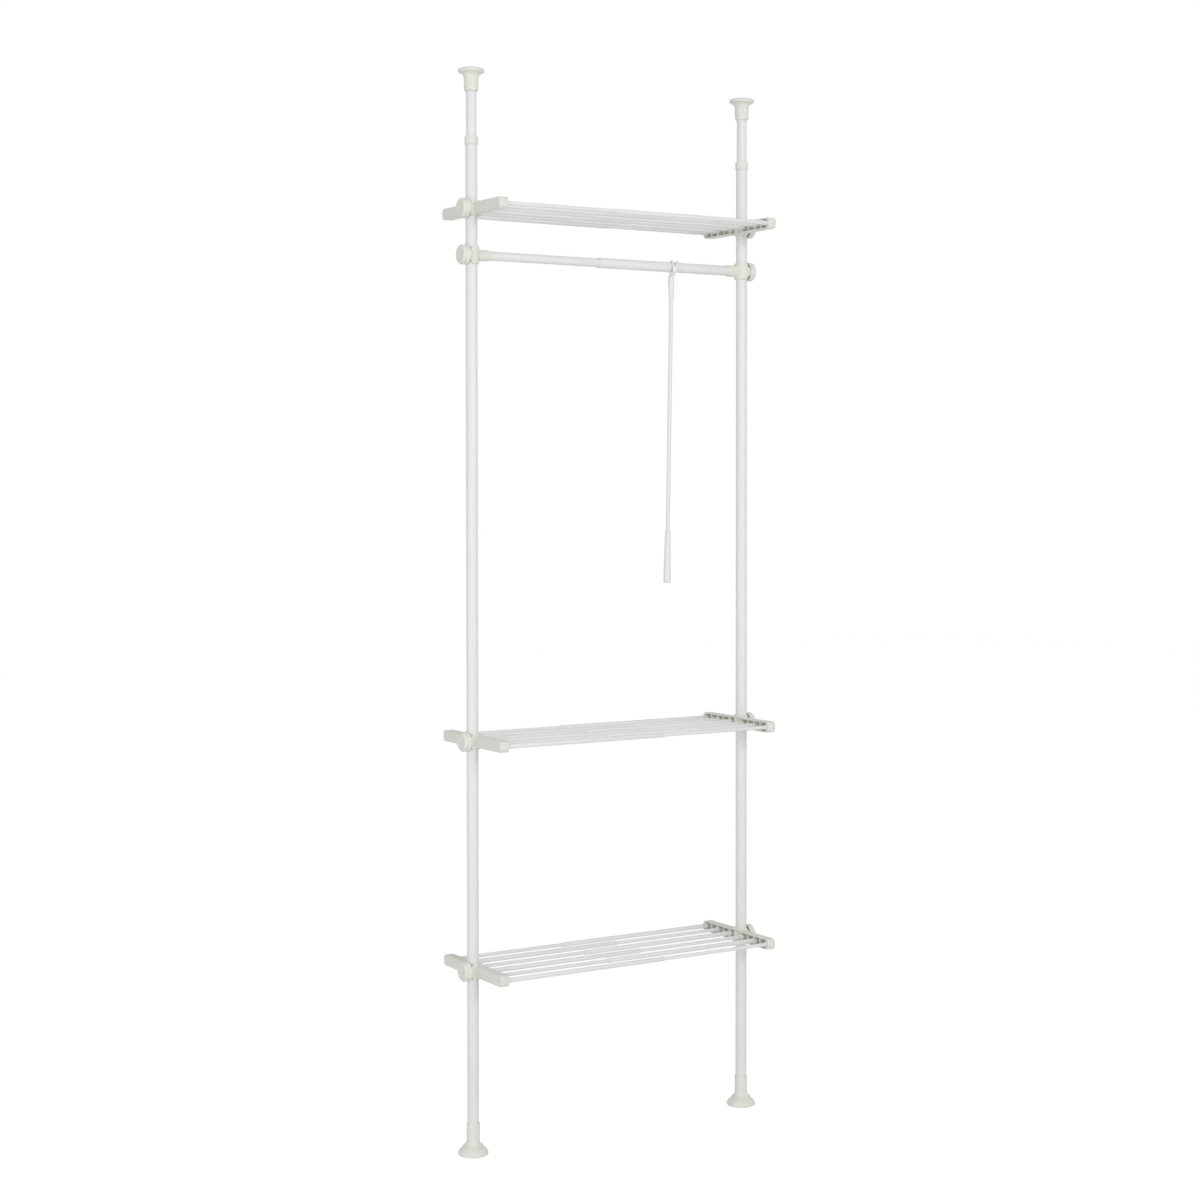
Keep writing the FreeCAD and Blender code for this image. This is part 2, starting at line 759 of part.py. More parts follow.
def shelf(name, up, reach, flipped):
    """One shelf: two arms, twelve telescopic tubes and two clamps."""
    thick_length = "Size.pole_spacing / 2 + %s - (%s)" % (reach, ARM_SOCKET)
    for side_name, side in SIDES:
        stem = "%s_%s" % (name, side_name)
        parts = (
            arm(stem + "_arm"),
            bar_tubes(stem + "_outer_tubes", "Size.thick_bar_dia", thick_length, "-2.5"),
            bar_tubes(
                stem + "_inner_tubes", "Size.thin_bar_dia", "Size.thin_bar_length", "-1.5"
            ),
        )
        for part in parts:
            place_on_pole(part, side, up, flipped)
        clamp(stem, side, up, flipped)


# ---- The hanging rail --------------------------------------------------------------------


def bracket(label, rail_dia):
    """The rail's end bracket: clamp hub, socket and tapered mouth on one axis."""
    body = new_body(label)
    bore = half("%s + 2 * Size.seat_clearance" % rail_dia)
    prong = half("Size.hub_dia")
    hub = half("Size.hub_shoulder_dia")
    socket = "%s + Size.bracket_wall" % half(rail_dia)
    mouth = "%s + Size.bracket_mouth_wall" % half(rail_dia)
    outline = (
        ("-Size.prong_end", "0"),
        ("Size.bracket_socket_floor", "0"),
        ("Size.bracket_socket_floor", bore),
        ("Size.bracket_mouth", bore),
        ("Size.bracket_mouth", mouth),
        ("Size.bracket_socket_end", socket),
        ("Size.bracket_hub_front", socket),
        ("Size.bracket_hub_front", "%s - Size.bracket_chamfer" % hub),
        ("Size.bracket_hub_front - Size.bracket_chamfer", hub),
        ("-Size.bracket_hub_back", hub),
        ("-Size.hub_shoulder_end", prong),
        ("-Size.prong_end", prong),
    )
    revolve(body, outline, "XZ_Plane", "X_Axis")
    doc.recompute()
    cut_pole_slot(body)
    return body


def rail_end(stem, side, tube_label, outer, wall, length):
    """One end of the rail: its bracket and clamp, and the tube fixed in its socket."""
    inner = "%s - 2 * %s" % (outer, wall)
    tube = ring_tube(tube_label, outer, inner, length, "YZ_Plane", "Size.bracket_socket_floor")
    place_on_pole(bracket(stem + "_bracket", outer), side, RAIL)
    place_on_pole(tube, side, RAIL)
    clamp(stem, side, RAIL)


def rail():
    """The rail: a thin tube from the left bracket runs in a thick one from the right."""
    thin = ("Size.thin_rail_dia", "Size.thin_rail_wall", "Size.thin_rail_length")
    thick_length = "Size.pole_spacing / 2 + Size.thick_rail_reach - Size.bracket_socket_floor"
    thick = ("Size.thick_rail_dia", "Size.thick_rail_wall", thick_length)
    rail_end("rail_left", -1, "rail_thin_tube", *thin)
    rail_end("rail_right", 1, "rail_thick_tube", *thick)


# ---- The hook wand -----------------------------------------------------------------------


# The fingers cross the rail askew, so the arch stands hook_lift clear of the rail's crown.
ARCH_DROP = "(Size.hook_dia / 2 - Size.thick_rail_dia / 2 - Size.hook_lift)"


def blend(body, lower, upper):
    """A straight-sided run between two rectangles: height, centre across, centre back, sizes."""
    sketches = []
    for up, across, back, wide, deep in (lower, upper):
        sketch = new_sketch(body, "XY_Plane", up, "Section")
        left, right = ["%s %s (%s)" % (across, sign, half(wide)) for sign in "-+"]
        front, rear = ["%s %s (%s)" % (back, sign, half(deep)) for sign in "-+"]
        draw_box(sketch, left, front, right, rear)
        sketches.append(sketch)
    feature = add_feature(body, "PartDesign::AdditiveLoft", "Blend", sketches[0])
    feature.Sections = [sketches[1]]
    feature.Ruled = True
    sketches[1].Visibility = False


def finger(body, across):
    """One bent finger of the hook, up in front of the rail, over it and down behind."""
    inner = half("Size.hook_dia")
    outer = "%s + Size.finger_thickness" % inner
    centre = "-%s" % ARCH_DROP
    tail = "%s - Size.finger_tail" % centre
    start = "%s - %s" % (across, half("Size.finger_width"))
    sketch = new_sketch(body, "YZ_Plane", start, "Finger")
    outline = (
        ("-(%s)" % outer, "-Size.fork_drop"),
        ("-(%s)" % inner, "-Size.fork_drop"),
        ("-(%s)" % inner, centre),
        ("0", "%s + %s" % (centre, inner), "-(%s)" % inner),
        (inner, centre, "-(%s)" % inner),
        (inner, tail),
        (outer, tail),
        (outer, centre),
        ("0", "%s + %s" % (centre, outer), outer),
        ("-(%s)" % outer, centre, outer),
    )
    draw_outline(sketch, outline)
    pad(body, sketch, "Size.finger_width")


def ferrule(body):
    """The round head that joins the fork to the shaft, about the shaft's axis."""
    outside = half("Size.ferrule_dia")
    tip = half("Size.ferrule_tip_dia")
    bore = half("Size.shaft_dia + 2 * Size.seat_clearance")
    top = "-Size.ferrule_drop"
    bottom = "%s - Size.ferrule_length" % top
    outline = (
        ("0", top),
        ("0", "%s + Size.shaft_seat" % bottom),
        (bore, "%s + Size.shaft_seat" % bottom),
        (bore, bottom),
        (tip, bottom),
        (outside, "%s - Size.ferrule_chamfer" % top),
        ("%s - Size.ferrule_chamfer" % outside, top),
    )
    sketch = new_sketch(body, "XZ_Plane", "Size.shaft_forward")
    sketch.setExpression(".AttachmentOffset.Base.x", "-Size.shaft_offset")
    draw_outline(sketch, outline)
    feature = add_feature(body, "PartDesign::Revolution", "Turned", sketch)
    feature.ReferenceAxis = (sketch, ["V_Axis"])
    feature.Angle = 360


def wand_hook(label):
    """The two-fingered hook and its ferrule, one moulding, drawn about the rail's axis."""
    body = new_body(label)
    ferrule(body)
    doc.recompute()
    leg = "-(%s + %s)" % (half("Size.hook_dia"), half("Size.finger_thickness"))
    head = (
        "-Size.ferrule_drop - Size.neck_sink",
        "-Size.shaft_offset",
        "-Size.shaft_forward",
        "Size.neck_width",
        "Size.neck_width",
    )
    neck = ("-Size.neck_drop", "-Size.neck_offset", leg, "Size.neck_width", "Size.neck_depth")
    blend(body, head, neck)
    for side in (-1, 1):
        across = "%d * Size.finger_spacing / 2" % side
        root = ("-Size.fork_drop", across, leg, "Size.finger_width", "Size.finger_thickness")
        blend(body, neck, root)
        finger(body, across)
    return body


def wand_grip(label):
    """The grip: it swells towards its rounded end and is bored for the shaft."""
    body = new_body(label)
    bore = half("Size.shaft_dia + 2 * Size.seat_clearance")
    neck = half("Size.grip_neck_dia")
    swell = half("Size.grip_dia")
    bottom = "-Size.grip_length"
    outline = (
        ("0", bottom),
        ("%s - Size.grip_end_chamfer" % swell, bottom),
        (swell, "%s + Size.grip_end_chamfer" % bottom),
        (swell, "-Size.grip_swell"),
        (neck, "0"),
        (bore, "0"),
        (bore, "-Size.shaft_seat"),
        ("0", "-Size.shaft_seat"),
    )
    revolve(body, outline, "XZ_Plane", "Z_Axis")
    return body


def wand():
    """The wand hangs from the thick rail tube by its hook, leaning a little."""
    shaft = ring_tube(
        "wand_shaft",
        "Size.shaft_dia",
        "Size.shaft_dia - 2 * Size.bar_wall",
        "Size.shaft_length",
    )
    lean = FreeCAD.Rotation(FreeCAD.Vector(0, 1, 0), value("Size.wand_lean"))
    yaw = FreeCAD.Rotation(FreeCAD.Vector(0, 0, 1), value("Size.wand_yaw"))
    turn = lean.multiply(yaw)
    hang = FreeCAD.Vector(value("Size.wand_place"), 0, value(RAIL))
    axis = FreeCAD.Vector(value("-Size.shaft_offset"), value("-Size.shaft_forward"), 0)
    seat_top = value("Size.ferrule_drop + Size.ferrule_length - Size.shaft_seat")
    drops = (
        (wand_hook("wand_hook"), None),
        (shaft, seat_top + value("Size.shaft_length")),
        (wand_grip("wand_grip"), seat_top + value("Size.shaft_length - Size.shaft_seat")),
    )
    for piece, drop in drops:
        if drop is None:
            local = FreeCAD.Vector()
        else:
            local = axis - FreeCAD.Vector(0, 0, drop)
        piece.Placement = FreeCAD.Placement(hang + turn.multVec(local), turn)


# ---- The whole unit ----------------------------------------------------------------------


def check_document():
    """Stop if any object failed or any piece is not one or more valid solids."""
    doc.recompute()
    for item in doc.Objects:
        if {"Invalid", "Error"} & set(item.State):
            raise RuntimeError("%s failed: %s" % (item.Label, item.State))
    for piece in pieces:
        shape = piece.Shape
        if shape.isNull() or not shape.isValid() or not shape.Solids:
            raise RuntimeError("%s has no valid solid" % piece.Label)


def export_pieces():
    """Write each piece to its own STEP file, named by its label."""
    os.makedirs("parts", exist_ok=True)
    for piece in pieces:
        piece.Shape.exportStep("parts/%s.step" % piece.Label)


fill_sheet()
for side_name, side in SIDES:
    pole(side_name, side)
for shelf_name, shelf_up, bar_reach, turned_over in SHELVES:
    shelf(shelf_name, shelf_up, bar_reach, turned_over)
rail()
wand()
check_document()
export_pieces()
print("%d pieces" % len(pieces))
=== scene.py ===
# %% [markdown]
# # A tension pole shelf unit
#
# Two telescopic poles stand between floor and ceiling. Three slatted shelves and a hanging
# rail clamp to them, and a hook wand hangs from the rail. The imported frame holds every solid
# at its place, in metres: +X along the shelves, +Y to the back and +Z up. Each cell below makes
# one kind of piece with its rounded edges and its finish, and lets it stand for its solid.

# %% Load the frame
import json
import math

import bpy
from mathutils import Matrix, Vector


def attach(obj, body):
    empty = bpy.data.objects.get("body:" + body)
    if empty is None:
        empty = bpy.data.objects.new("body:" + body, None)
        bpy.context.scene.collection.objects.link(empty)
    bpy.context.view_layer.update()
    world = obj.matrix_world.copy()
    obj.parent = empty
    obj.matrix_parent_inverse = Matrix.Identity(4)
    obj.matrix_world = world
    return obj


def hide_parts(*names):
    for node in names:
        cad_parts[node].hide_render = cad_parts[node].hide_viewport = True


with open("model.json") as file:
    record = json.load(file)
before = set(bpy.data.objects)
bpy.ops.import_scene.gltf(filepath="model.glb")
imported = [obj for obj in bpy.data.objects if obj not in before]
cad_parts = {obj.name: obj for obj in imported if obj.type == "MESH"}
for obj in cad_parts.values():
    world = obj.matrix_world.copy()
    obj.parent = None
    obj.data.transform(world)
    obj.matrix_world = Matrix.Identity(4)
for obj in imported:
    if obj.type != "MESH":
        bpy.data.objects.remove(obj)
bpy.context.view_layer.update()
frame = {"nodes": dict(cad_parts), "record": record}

BODY_OF = {
    node: body for body, nodes in frame["record"]["behaviour"]["bodies"].items() for node in nodes
}
MM = 0.001

# %% [markdown]
# ## The camera
#
# The unit is tall and slim, so it is seen from well back with a fairly long lens: that keeps the
# poles nearly parallel. The camera stands in front and to the left, at chest height, and looks
# almost level. A small downward shift of the frame, with hardly any tilt, takes in the feet and
# keeps the uprights upright.

# %% Camera
FRAME_PIXELS = 1200
FOCAL_PIXELS = 2163.3
HORIZON_PIXELS = 533.06
SIDEWAYS_PIXELS = 9.83
CAMERA_PLACE = (-2.5120, -3.9683, 1.4088)
TILT_DOWN = 0.0229
ROLL = 0.00077
TURN_DEGREES = -31.759

camera_data = bpy.data.cameras.new("studio_camera")
camera_data.sensor_width = 36.0
camera_data.lens = camera_data.sensor_width * FOCAL_PIXELS / FRAME_PIXELS
camera_data.shift_x = SIDEWAYS_PIXELS / FRAME_PIXELS
camera_data.shift_y = (HORIZON_PIXELS - FRAME_PIXELS / 2) / FRAME_PIXELS
camera_data.clip_end = 60.0
camera = bpy.data.objects.new("studio_camera", camera_data)
camera.location = CAMERA_PLACE
camera.rotation_euler = (math.pi / 2 - TILT_DOWN, ROLL, math.radians(TURN_DEGREES))
bpy.context.scene.collection.objects.link(camera)
bpy.context.scene.camera = camera
print("camera: lens %.1f mm, shift %.4f" % (camera_data.lens, camera_data.shift_y))

# %% [markdown]
# ## Sums on sockets
#
# Materials are sums over noise and colour. Wired by hand, each sum is a node and two links. This
# class wraps one output socket and gives it Python's operators, so `1 - dust * 0.2` adds the Math
# nodes by itself. Its one other method makes any node: settings first, then sockets.


# %% A socket that can be added and multiplied
class Signal:
    """An output socket of a material; sums on it add Math nodes."""

    def __init__(self, tree, socket=None):
        self.tree = tree
        self.socket = socket

    def node(self, kind, settings=None, inputs=None, output=0):
        """Make any node from its settings and its sockets' values or signals."""
        made = self.tree.nodes.new(kind)
        for key, setting in (settings or {}).items():
            setattr(made, key, setting)
        for key, given in (inputs or {}).items():
            if isinstance(given, Signal):
                self.tree.links.new(given.socket, made.inputs[key])
            else:
                made.inputs[key].default_value = given
        return Signal(self.tree, made.outputs[output])

    def sums(self, operation, first, second):
        """One Math node on two values or signals."""
        return self.node("ShaderNodeMath", {"operation": operation}, {0: first, 1: second})

    def __add__(self, other):
        return self.sums("ADD", self, other)

    def __sub__(self, other):
        return self.sums("SUBTRACT", self, other)

    def __rsub__(self, other):
        return self.sums("SUBTRACT", other, self)

    def __mul__(self, other):
        return self.sums("MULTIPLY", self, other)

    __radd__ = __add__
    __rmul__ = __mul__


# %% [markdown]
# ## Noise, colour and relief
#
# All five finishes are built the same way. A slow noise shifts the colour a little, as
# pigment and coating thickness do. A fine noise is the relief of the surface: orange peel on
# the powder coat, spark texture on the mouldings. Both read Object coordinates, which are
# metres here, so a scale of 500 gives features about 2 mm wide.


# %% Parts that the finishes share
def noise(start, place, scale, detail=2.0):
    """A noise value of about this many features to the metre."""
    return start.node(
        "ShaderNodeTexNoise",
        inputs={"Vector": place, "Scale": scale, "Detail": detail, "Roughness": 0.5},
    )


def tint(start, mask, low, high):
    """A colour between two, by a mask."""
    return start.node(
        "ShaderNodeMix",
        {"data_type": "RGBA", "clamp_factor": True},
        {0: mask, 6: (*low, 1.0), 7: (*high, 1.0)},
        output=2,
    )


def new_finish(name):
    """A material, its shader, a first signal and the place on the object in metres."""
    material = bpy.data.materials.new(name)
    material.use_nodes = True
    start = Signal(material.node_tree)
    place = start.node("ShaderNodeTexCoord", output=3)
    return material, material.node_tree.nodes["Principled BSDF"], start, place


def wire(start, shader, colour, roughness, relief, depth):
    """Feed the sockets that vary; depth is the relief's full height in metres."""
    bump = start.node(
        "ShaderNodeBump", inputs={"Height": relief, "Distance": depth, "Strength": 1.0}
    )
    for name, signal in (("Base Color", colour), ("Roughness", roughness), ("Normal", bump)):
        start.tree.links.new(signal.socket, shader.inputs[name])


# %% [markdown]
# ## White powder coat on steel
#
# The tubes are thin steel with a white powder coat. The powder melts into a slightly wavy
# gloss, called orange peel, and lies on thick enough to hide the metal. So the shader isn't
# metallic: it is a neutral white with a thin clear coat. The waves are between 2 and 3 mm wide
# and a few hundredths of a millimetre deep.

# %% Powder coat
powder_coat, shader, start, place = new_finish("white_powder_coat")
cloud = noise(start, place, 9.0)
peel = noise(start, place, 420.0, 3.0)
grain = noise(start, place, 2600.0, 1.0)
colour = tint(start, cloud * 0.7 + grain * 0.3, (0.800, 0.800, 0.798), (0.845, 0.845, 0.843))
wire(start, shader, colour, 0.42 + peel * 0.14, peel * 0.85 + grain * 0.15, 0.00005)
shader.inputs["Coat Weight"].default_value = 0.12
shader.inputs["Coat Roughness"].default_value = 0.30
shader.inputs["IOR"].default_value = 1.48
print(powder_coat.name, len(powder_coat.node_tree.nodes), "nodes")

# %% [markdown]
# ## Ivory moulding
#
# Feet, collars, caps, arms, brackets, saddles and knobs are one satin plastic, a little warmer
# than the tubes. Moulded plastic keeps the spark texture of its steel mould, a fine even grain
# that breaks up the gloss.

# %% Moulded plastic
ivory_plastic, shader, start, place = new_finish("ivory_moulding")
cloud = noise(start, place, 24.0)
spark = noise(start, place, 1500.0, 2.0)
flow = noise(start, place, 90.0, 1.0)
colour = tint(start, cloud * 0.6 + flow * 0.4, (0.760, 0.753, 0.700), (0.820, 0.813, 0.762))
wire(start, shader, colour, 0.40 + spark * 0.16, spark, 0.00004)
shader.inputs["IOR"].default_value = 1.49
print(ivory_plastic.name, len(ivory_plastic.node_tree.nodes), "nodes")

# %% [markdown]
# ## White moulding
#
# The wand's hook and grip are moulded in a plastic as white as its steel shaft, so that the
# three look like one rod. It has the ivory moulding's grain without its warmth.

# %% The wand's plastic
white_plastic, shader, start, place = new_finish("white_moulding")
cloud = noise(start, place, 30.0)
spark = noise(start, place, 1500.0, 2.0)
colour = tint(start, cloud, (0.805, 0.805, 0.803), (0.850, 0.850, 0.848))
wire(start, shader, colour, 0.42 + spark * 0.14, spark, 0.00003)
shader.inputs["IOR"].default_value = 1.49
print(white_plastic.name, len(white_plastic.node_tree.nodes), "nodes")

# %% [markdown]
# ## Rubber and nylon
#
# The soles and ceiling pads are matt grey rubber with a dusty skin. The lock plugs and jack
# inserts inside the poles are natural nylon, a dull cream with a waxy gloss.

# %% Rubber and nylon
grey_rubber, shader, start, place = new_finish("grey_rubber")
dust = noise(start, place, 160.0, 4.0)
pits = noise(start, place, 1800.0, 2.0)
colour = tint(start, dust, (0.150, 0.150, 0.148), (0.235, 0.233, 0.226))
wire(start, shader, colour, 0.72 + dust * 0.16, pits, 0.00006)

natural_nylon, shader, start, place = new_finish("natural_nylon")
haze = noise(start, place, 60.0)
fine = noise(start, place, 1100.0, 1.0)
colour = tint(start, haze, (0.680, 0.650, 0.560), (0.760, 0.735, 0.655))
wire(start, shader, colour, 0.38 + haze * 0.14, fine, 0.00002)

# %% [markdown]
# ## Rounded corners
#
# No moulded or rolled edge is sharp. Most pieces here are turned, so the rounding is put into
# the profile before it is spun: each corner that has a radius becomes a short arc. That gives
# clean rings of faces, which a bevel on the finished solid would not.


# %% Round the corners of a profile
def rounded(profile, steps=4):
    """Points along a profile of (along, out) or (along, out, radius), in millimetres."""
    points = []
    for index, corner in enumerate(profile):
        here = Vector(corner[:2])
        if len(corner) == 2:
            points.append(here)
            continue
        back = Vector(profile[index - 1][:2]) - here
        ahead = Vector(profile[(index + 1) % len(profile)][:2]) - here
        half_angle = back.angle(ahead) / 2
        reach = min(corner[2] / math.tan(half_angle), 0.48 * min(back.length, ahead.length))
        radius = reach * math.tan(half_angle)
        bisector = (back.normalized() + ahead.normalized()).normalized()
        centre = here + bisector * radius / math.sin(half_angle)
        first = here + back.normalized() * reach - centre
        last = here + ahead.normalized() * reach - centre
        shares = [step / steps for step in range(steps + 1)]
        points += [centre + first.slerp(last, share).normalized() * radius for share in shares]
    return points


print("a 2 mm corner becomes", len(rounded([(0, 0), (0, 9, 2.0), (9, 9)])) - 2, "points")

# %% [markdown]
# ## Drawing a line and turning it
#
# A lathe needs only half an outline. The outline starts as one vertex, is extruded from point
# to point, and is spun once round the axis. Spinning leaves a seam, and a fan of vertices where
# the outline touches the axis, so doubles are merged and the normals are then turned outwards.


# %% Draw and turn
def draw_line(name, points):
    """Extrude one vertex from place to place; the line stays open in edit mode."""
    bpy.ops.object.select_all(action="DESELECT")
    bpy.ops.mesh.primitive_plane_add(size=MM, location=(0, 0, 0))
    piece = bpy.context.object
    piece.name = piece.data.name = name
    bpy.context.tool_settings.mesh_select_mode = (True, False, False)
    bpy.ops.object.mode_set(mode="EDIT")
    bpy.ops.mesh.select_all(action="SELECT")
    bpy.ops.mesh.merge(type="CENTER")
    bpy.ops.transform.translate(value=points[0])
    for before, after in zip(points, points[1:]):
        bpy.ops.mesh.extrude_vertices_move(TRANSFORM_OT_translate={"value": after - before})
    bpy.ops.mesh.select_all(action="SELECT")
    return piece


def close_up(piece, smooth_degrees=32):
    """Merge doubles, turn the faces outwards and shade smooth up to an angle."""
    bpy.ops.object.mode_set(mode="EDIT")
    bpy.ops.mesh.select_all(action="SELECT")
    bpy.ops.mesh.remove_doubles(threshold=0.004 * MM)
    bpy.ops.mesh.normals_make_consistent(inside=False)
    bpy.ops.object.mode_set(mode="OBJECT")
    bpy.ops.object.shade_smooth_by_angle(angle=math.radians(smooth_degrees))
    return piece


def turn(name, profile, axis="Z", centre=(0, 0, 0), segments=64, ring=True, steps=4):
    """Spin a profile of (along, out, radius) round an axis; a ring's profile closes on itself."""
    along, out = {"Z": ((0, 0, 1), (1, 0, 0)), "X": ((1, 0, 0), (0, 0, 1))}[axis]
    flat = rounded(profile, steps)
    if ring:
        flat.append(flat[0])
    middle = Vector(centre) * MM
    points = [middle + (Vector(along) * point[0] + Vector(out) * point[1]) * MM for point in flat]
    piece = draw_line(name, points)
    bpy.ops.mesh.spin(steps=segments, angle=math.tau, center=middle, axis=along)
    return close_up(piece)


def measure(piece):
    """Print a piece's size and its number of faces."""
    size = [round(side / MM, 1) for side in piece.dimensions]
    print("%s: %s mm, %d faces" % (piece.name, size, len(piece.data.polygons)))


# %% [markdown]
# ## Copies and stand-ins
#
# The two poles carry the same mouldings, the right one turned half round, and the shelves repeat
# them again. So each piece is made once about the left pole, and each copy gets its own mesh
# with its place applied to it. A stand-in hides the plain solid, rides on the same body and
# takes its finish.

# %% Place copies and let them stand for the solids
POLE_X = 345.5
SIDES = (("left", -1), ("right", 1))

# The gap between a tube and the bore that it is pressed into
FIT = 0.05


def on_pole(side, height, flipped=False):
    """The place of a clamp part on a pole, turned half round on the right one."""
    move = Matrix.Translation(Vector((side * POLE_X, 0, height)) * MM)
    half_turn = Matrix.Rotation(math.pi if side > 0 else 0.0, 4, "Z")
    flip = Matrix.Rotation(math.pi if flipped else 0.0, 4, "X")
    return move @ half_turn @ flip


def copy_at(master, name, place):
    """A copy with its own mesh, its place applied."""
    copy = master.copy()
    copy.data = master.data.copy()
    copy.name = copy.data.name = name
    bpy.context.scene.collection.objects.link(copy)
    copy.data.transform(place)
    return copy


def stand_in(piece, node, finish):
    """Finish the piece and let it stand for a solid."""
    piece.data.materials.clear()
    piece.data.materials.append(finish)
    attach(piece, BODY_OF[node])
    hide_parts(node)
    return piece


def on_both_poles(master, part, finish, height=0.0):
    """Stand-ins of one pole part on the left and right poles."""
    for side_name, side in SIDES:
        node = "%s_%s" % (side_name, part)
        stand_in(copy_at(master, node + "_fine", on_pole(side, height)), node, finish)
    measure(master)
    bpy.data.objects.remove(master)


# %% [markdown]
# ## Floor feet
#
# The foot is a moulded bell: a broad disc with a rounded rim that rises to a lip, and from the
# lip a flare runs up into a long sleeve round the pole. A rubber sole fills its underside. Its
# rings keep the pole from walking when the unit is wedged.

# %% Feet and soles
# The thick tube's radius, and the height at which it stands in the foot
THICK_TUBE = 12.5
TUBE_BOTTOM = 6.0

foot = turn(
    "foot",
    [
        (3.0, 28.05),
        (1.0, 28.05, 0.3),
        (1.0, 30.6, 0.6),
        (2.4, 32.0, 1.4),
        (5.8, 32.0, 2.4),
        (11.2, 28.6, 7.0),
        (17.6, 20.4, 1.6),
        (18.4, 19.75, 0.5),
        (18.5, 21.25, 0.6),
        (20.3, 21.25, 0.7),
        (22.2, 16.6, 3.5),
        (27.5, 14.25, 9.0),
        (48.0, 14.1),
        (67.0, 14.1, 0.9),
        (67.0, THICK_TUBE + FIT, 0.4),
        (TUBE_BOTTOM, THICK_TUBE + FIT),
        (TUBE_BOTTOM, 0.0),
        (3.0, 0.0),
    ],
    segments=96,
    ring=False,
)
on_both_poles(foot, "foot", ivory_plastic)

sole_profile = [(3.0, 0.0), (3.0, 28.0, 0.3), (0.0, 28.0, 0.6)]
for groove in (24.0, 19.0, 14.0, 9.0):
    sole_profile += [(0.0, groove + 1.3, 0.2), (0.9, groove + 0.8, 0.3)]
    sole_profile += [(0.9, groove - 0.8, 0.3), (0.0, groove - 1.3, 0.2)]
sole_profile += [(0.0, 0.0)]
sole = turn("sole", sole_profile, segments=64, ring=False, steps=2)
on_both_poles(sole, "foot_sole", grey_rubber)

# %% [markdown]
# ## Pole tubes and collars
#
# Each pole is a thick tube with a thinner one sliding in its top. Their mouths are cut square and
# the cut edge is broken, so each ring ends in two small radii. A collar caps the thick tube's
# mouth, and its lip guides the thin tube.

# %% Tubes and collars
# Radius and wall, and then the heights of the tubes' ends
THIN_TUBE = 11.0
POLE_WALL = 1.0
TUBE_MOUTH = 2128.0
THIN_BOTTOM = 1553.0
THIN_TOP = 2252.7
BROKEN_EDGE = 0.35


def tube(name, outer, inner, low, high, edge, axis="Z", centre=(0, 0, 0), segments=64):
    """A round tube, given by its radii and its ends, whose four edges are broken."""
    profile = [(low, inner, edge), (low, outer, edge), (high, outer, edge), (high, inner, edge)]
    return turn(name, profile, axis, centre, segments, steps=2)


def pole_tube(name, outer, low, high):
    """One tube of the pole."""
    return tube(name, outer, outer - POLE_WALL, low, high, BROKEN_EDGE)


lower_tube = pole_tube("lower_tube", THICK_TUBE, TUBE_BOTTOM, TUBE_MOUTH)
on_both_poles(lower_tube, "lower_tube", powder_coat)
upper_tube = pole_tube("upper_tube", THIN_TUBE, THIN_BOTTOM, THIN_TOP)
on_both_poles(upper_tube, "upper_tube", powder_coat)

collar = turn(
    "collar",
    [
        (2113.0, THICK_TUBE + FIT, 0.3),
        (2113.0, 14.2, 1.3),
        (2130.0, 14.2, 1.7),
        (2130.0, 11.1, 0.5),
        (TUBE_MOUTH, 11.1),
        (TUBE_MOUTH, THICK_TUBE + FIT),
    ],
)
on_both_poles(collar, "collar", ivory_plastic)

# %% [markdown]
# ## Ceiling caps
#
# The cap is a bell on a jack screw: it is turned by hand to wedge the pole against the
# ceiling, so its neck has sixteen finger grooves. They are made after turning: the bell is spun
# in 128 steps, eight to a groove, and the right columns of vertices are drawn in towards the
# axis. The rubber pad keeps a tenth of a millimetre off the bell, because the bell turns and the
# pad's rings hold still against the ceiling.

# %% Caps
CAP_BOTTOM = 2224.0
CEILING = 2270.0
FLUTES = 16
FLUTE_COLUMNS = 8
NECK = 15.35


def cap_profile():
    """The bell's outline from its mouth up to the rim, over the recess and down the screw."""
    outside = [
        (0.0, 11.1, 0.4),
        (0.0, 14.4, 2.4),
        (7.2, 14.95, 1.0),
        (8.2, 15.05),
        (9.8, 15.15),
        (19.0, NECK),
        (27.0, 15.5),
        (28.6, 15.6),
        (33.6, 17.2, 6.5),
        (38.2, 25.6, 1.6),
        (39.4, 27.75, 1.4),
        (45.0, 27.75, 1.5),
    ]
    inside = [
        (45.0, 25.1, 0.3),
        (43.0, 25.1),
        (43.0, 0.0),
        (-9.0, 0.0),
        (-9.0, 6.0, 1.0),
        (39.0, 6.0),
        (39.0, 11.1),
    ]
    return [(CAP_BOTTOM + along, *rest) for along, *rest in outside[1:] + inside + outside[:1]]


cap = turn("ceiling_cap", cap_profile(), segments=FLUTES * FLUTE_COLUMNS)


# %% Draw the finger grooves in
def draw_in(piece, picked, share):
    """Scale the picked vertices towards the pole's axis."""
    bpy.ops.object.select_all(action="DESELECT")
    bpy.context.view_layer.objects.active = piece
    piece.select_set(True)
    bpy.context.tool_settings.mesh_select_mode = (True, False, False)
    for part in (*piece.data.polygons, *piece.data.edges):
        part.select = False
    for vertex in piece.data.vertices:
        vertex.select = picked(vertex.co / MM)
    bpy.ops.object.mode_set(mode="EDIT")
    bpy.ops.transform.resize(value=(share, share, 1.0), center_override=(0.0, 0.0, 0.0))
    bpy.ops.object.mode_set(mode="OBJECT")


def in_groove(place, columns):
    """Whether a place in millimetres is on the neck and in these columns of a groove."""
    height = place.z - CAP_BOTTOM
    out = math.hypot(place.x, place.y)
    column = round(math.atan2(place.y, place.x) / math.tau * FLUTES * FLUTE_COLUMNS)
    return 9.0 < height < 28.0 and out > 14.5 and column % FLUTE_COLUMNS in columns


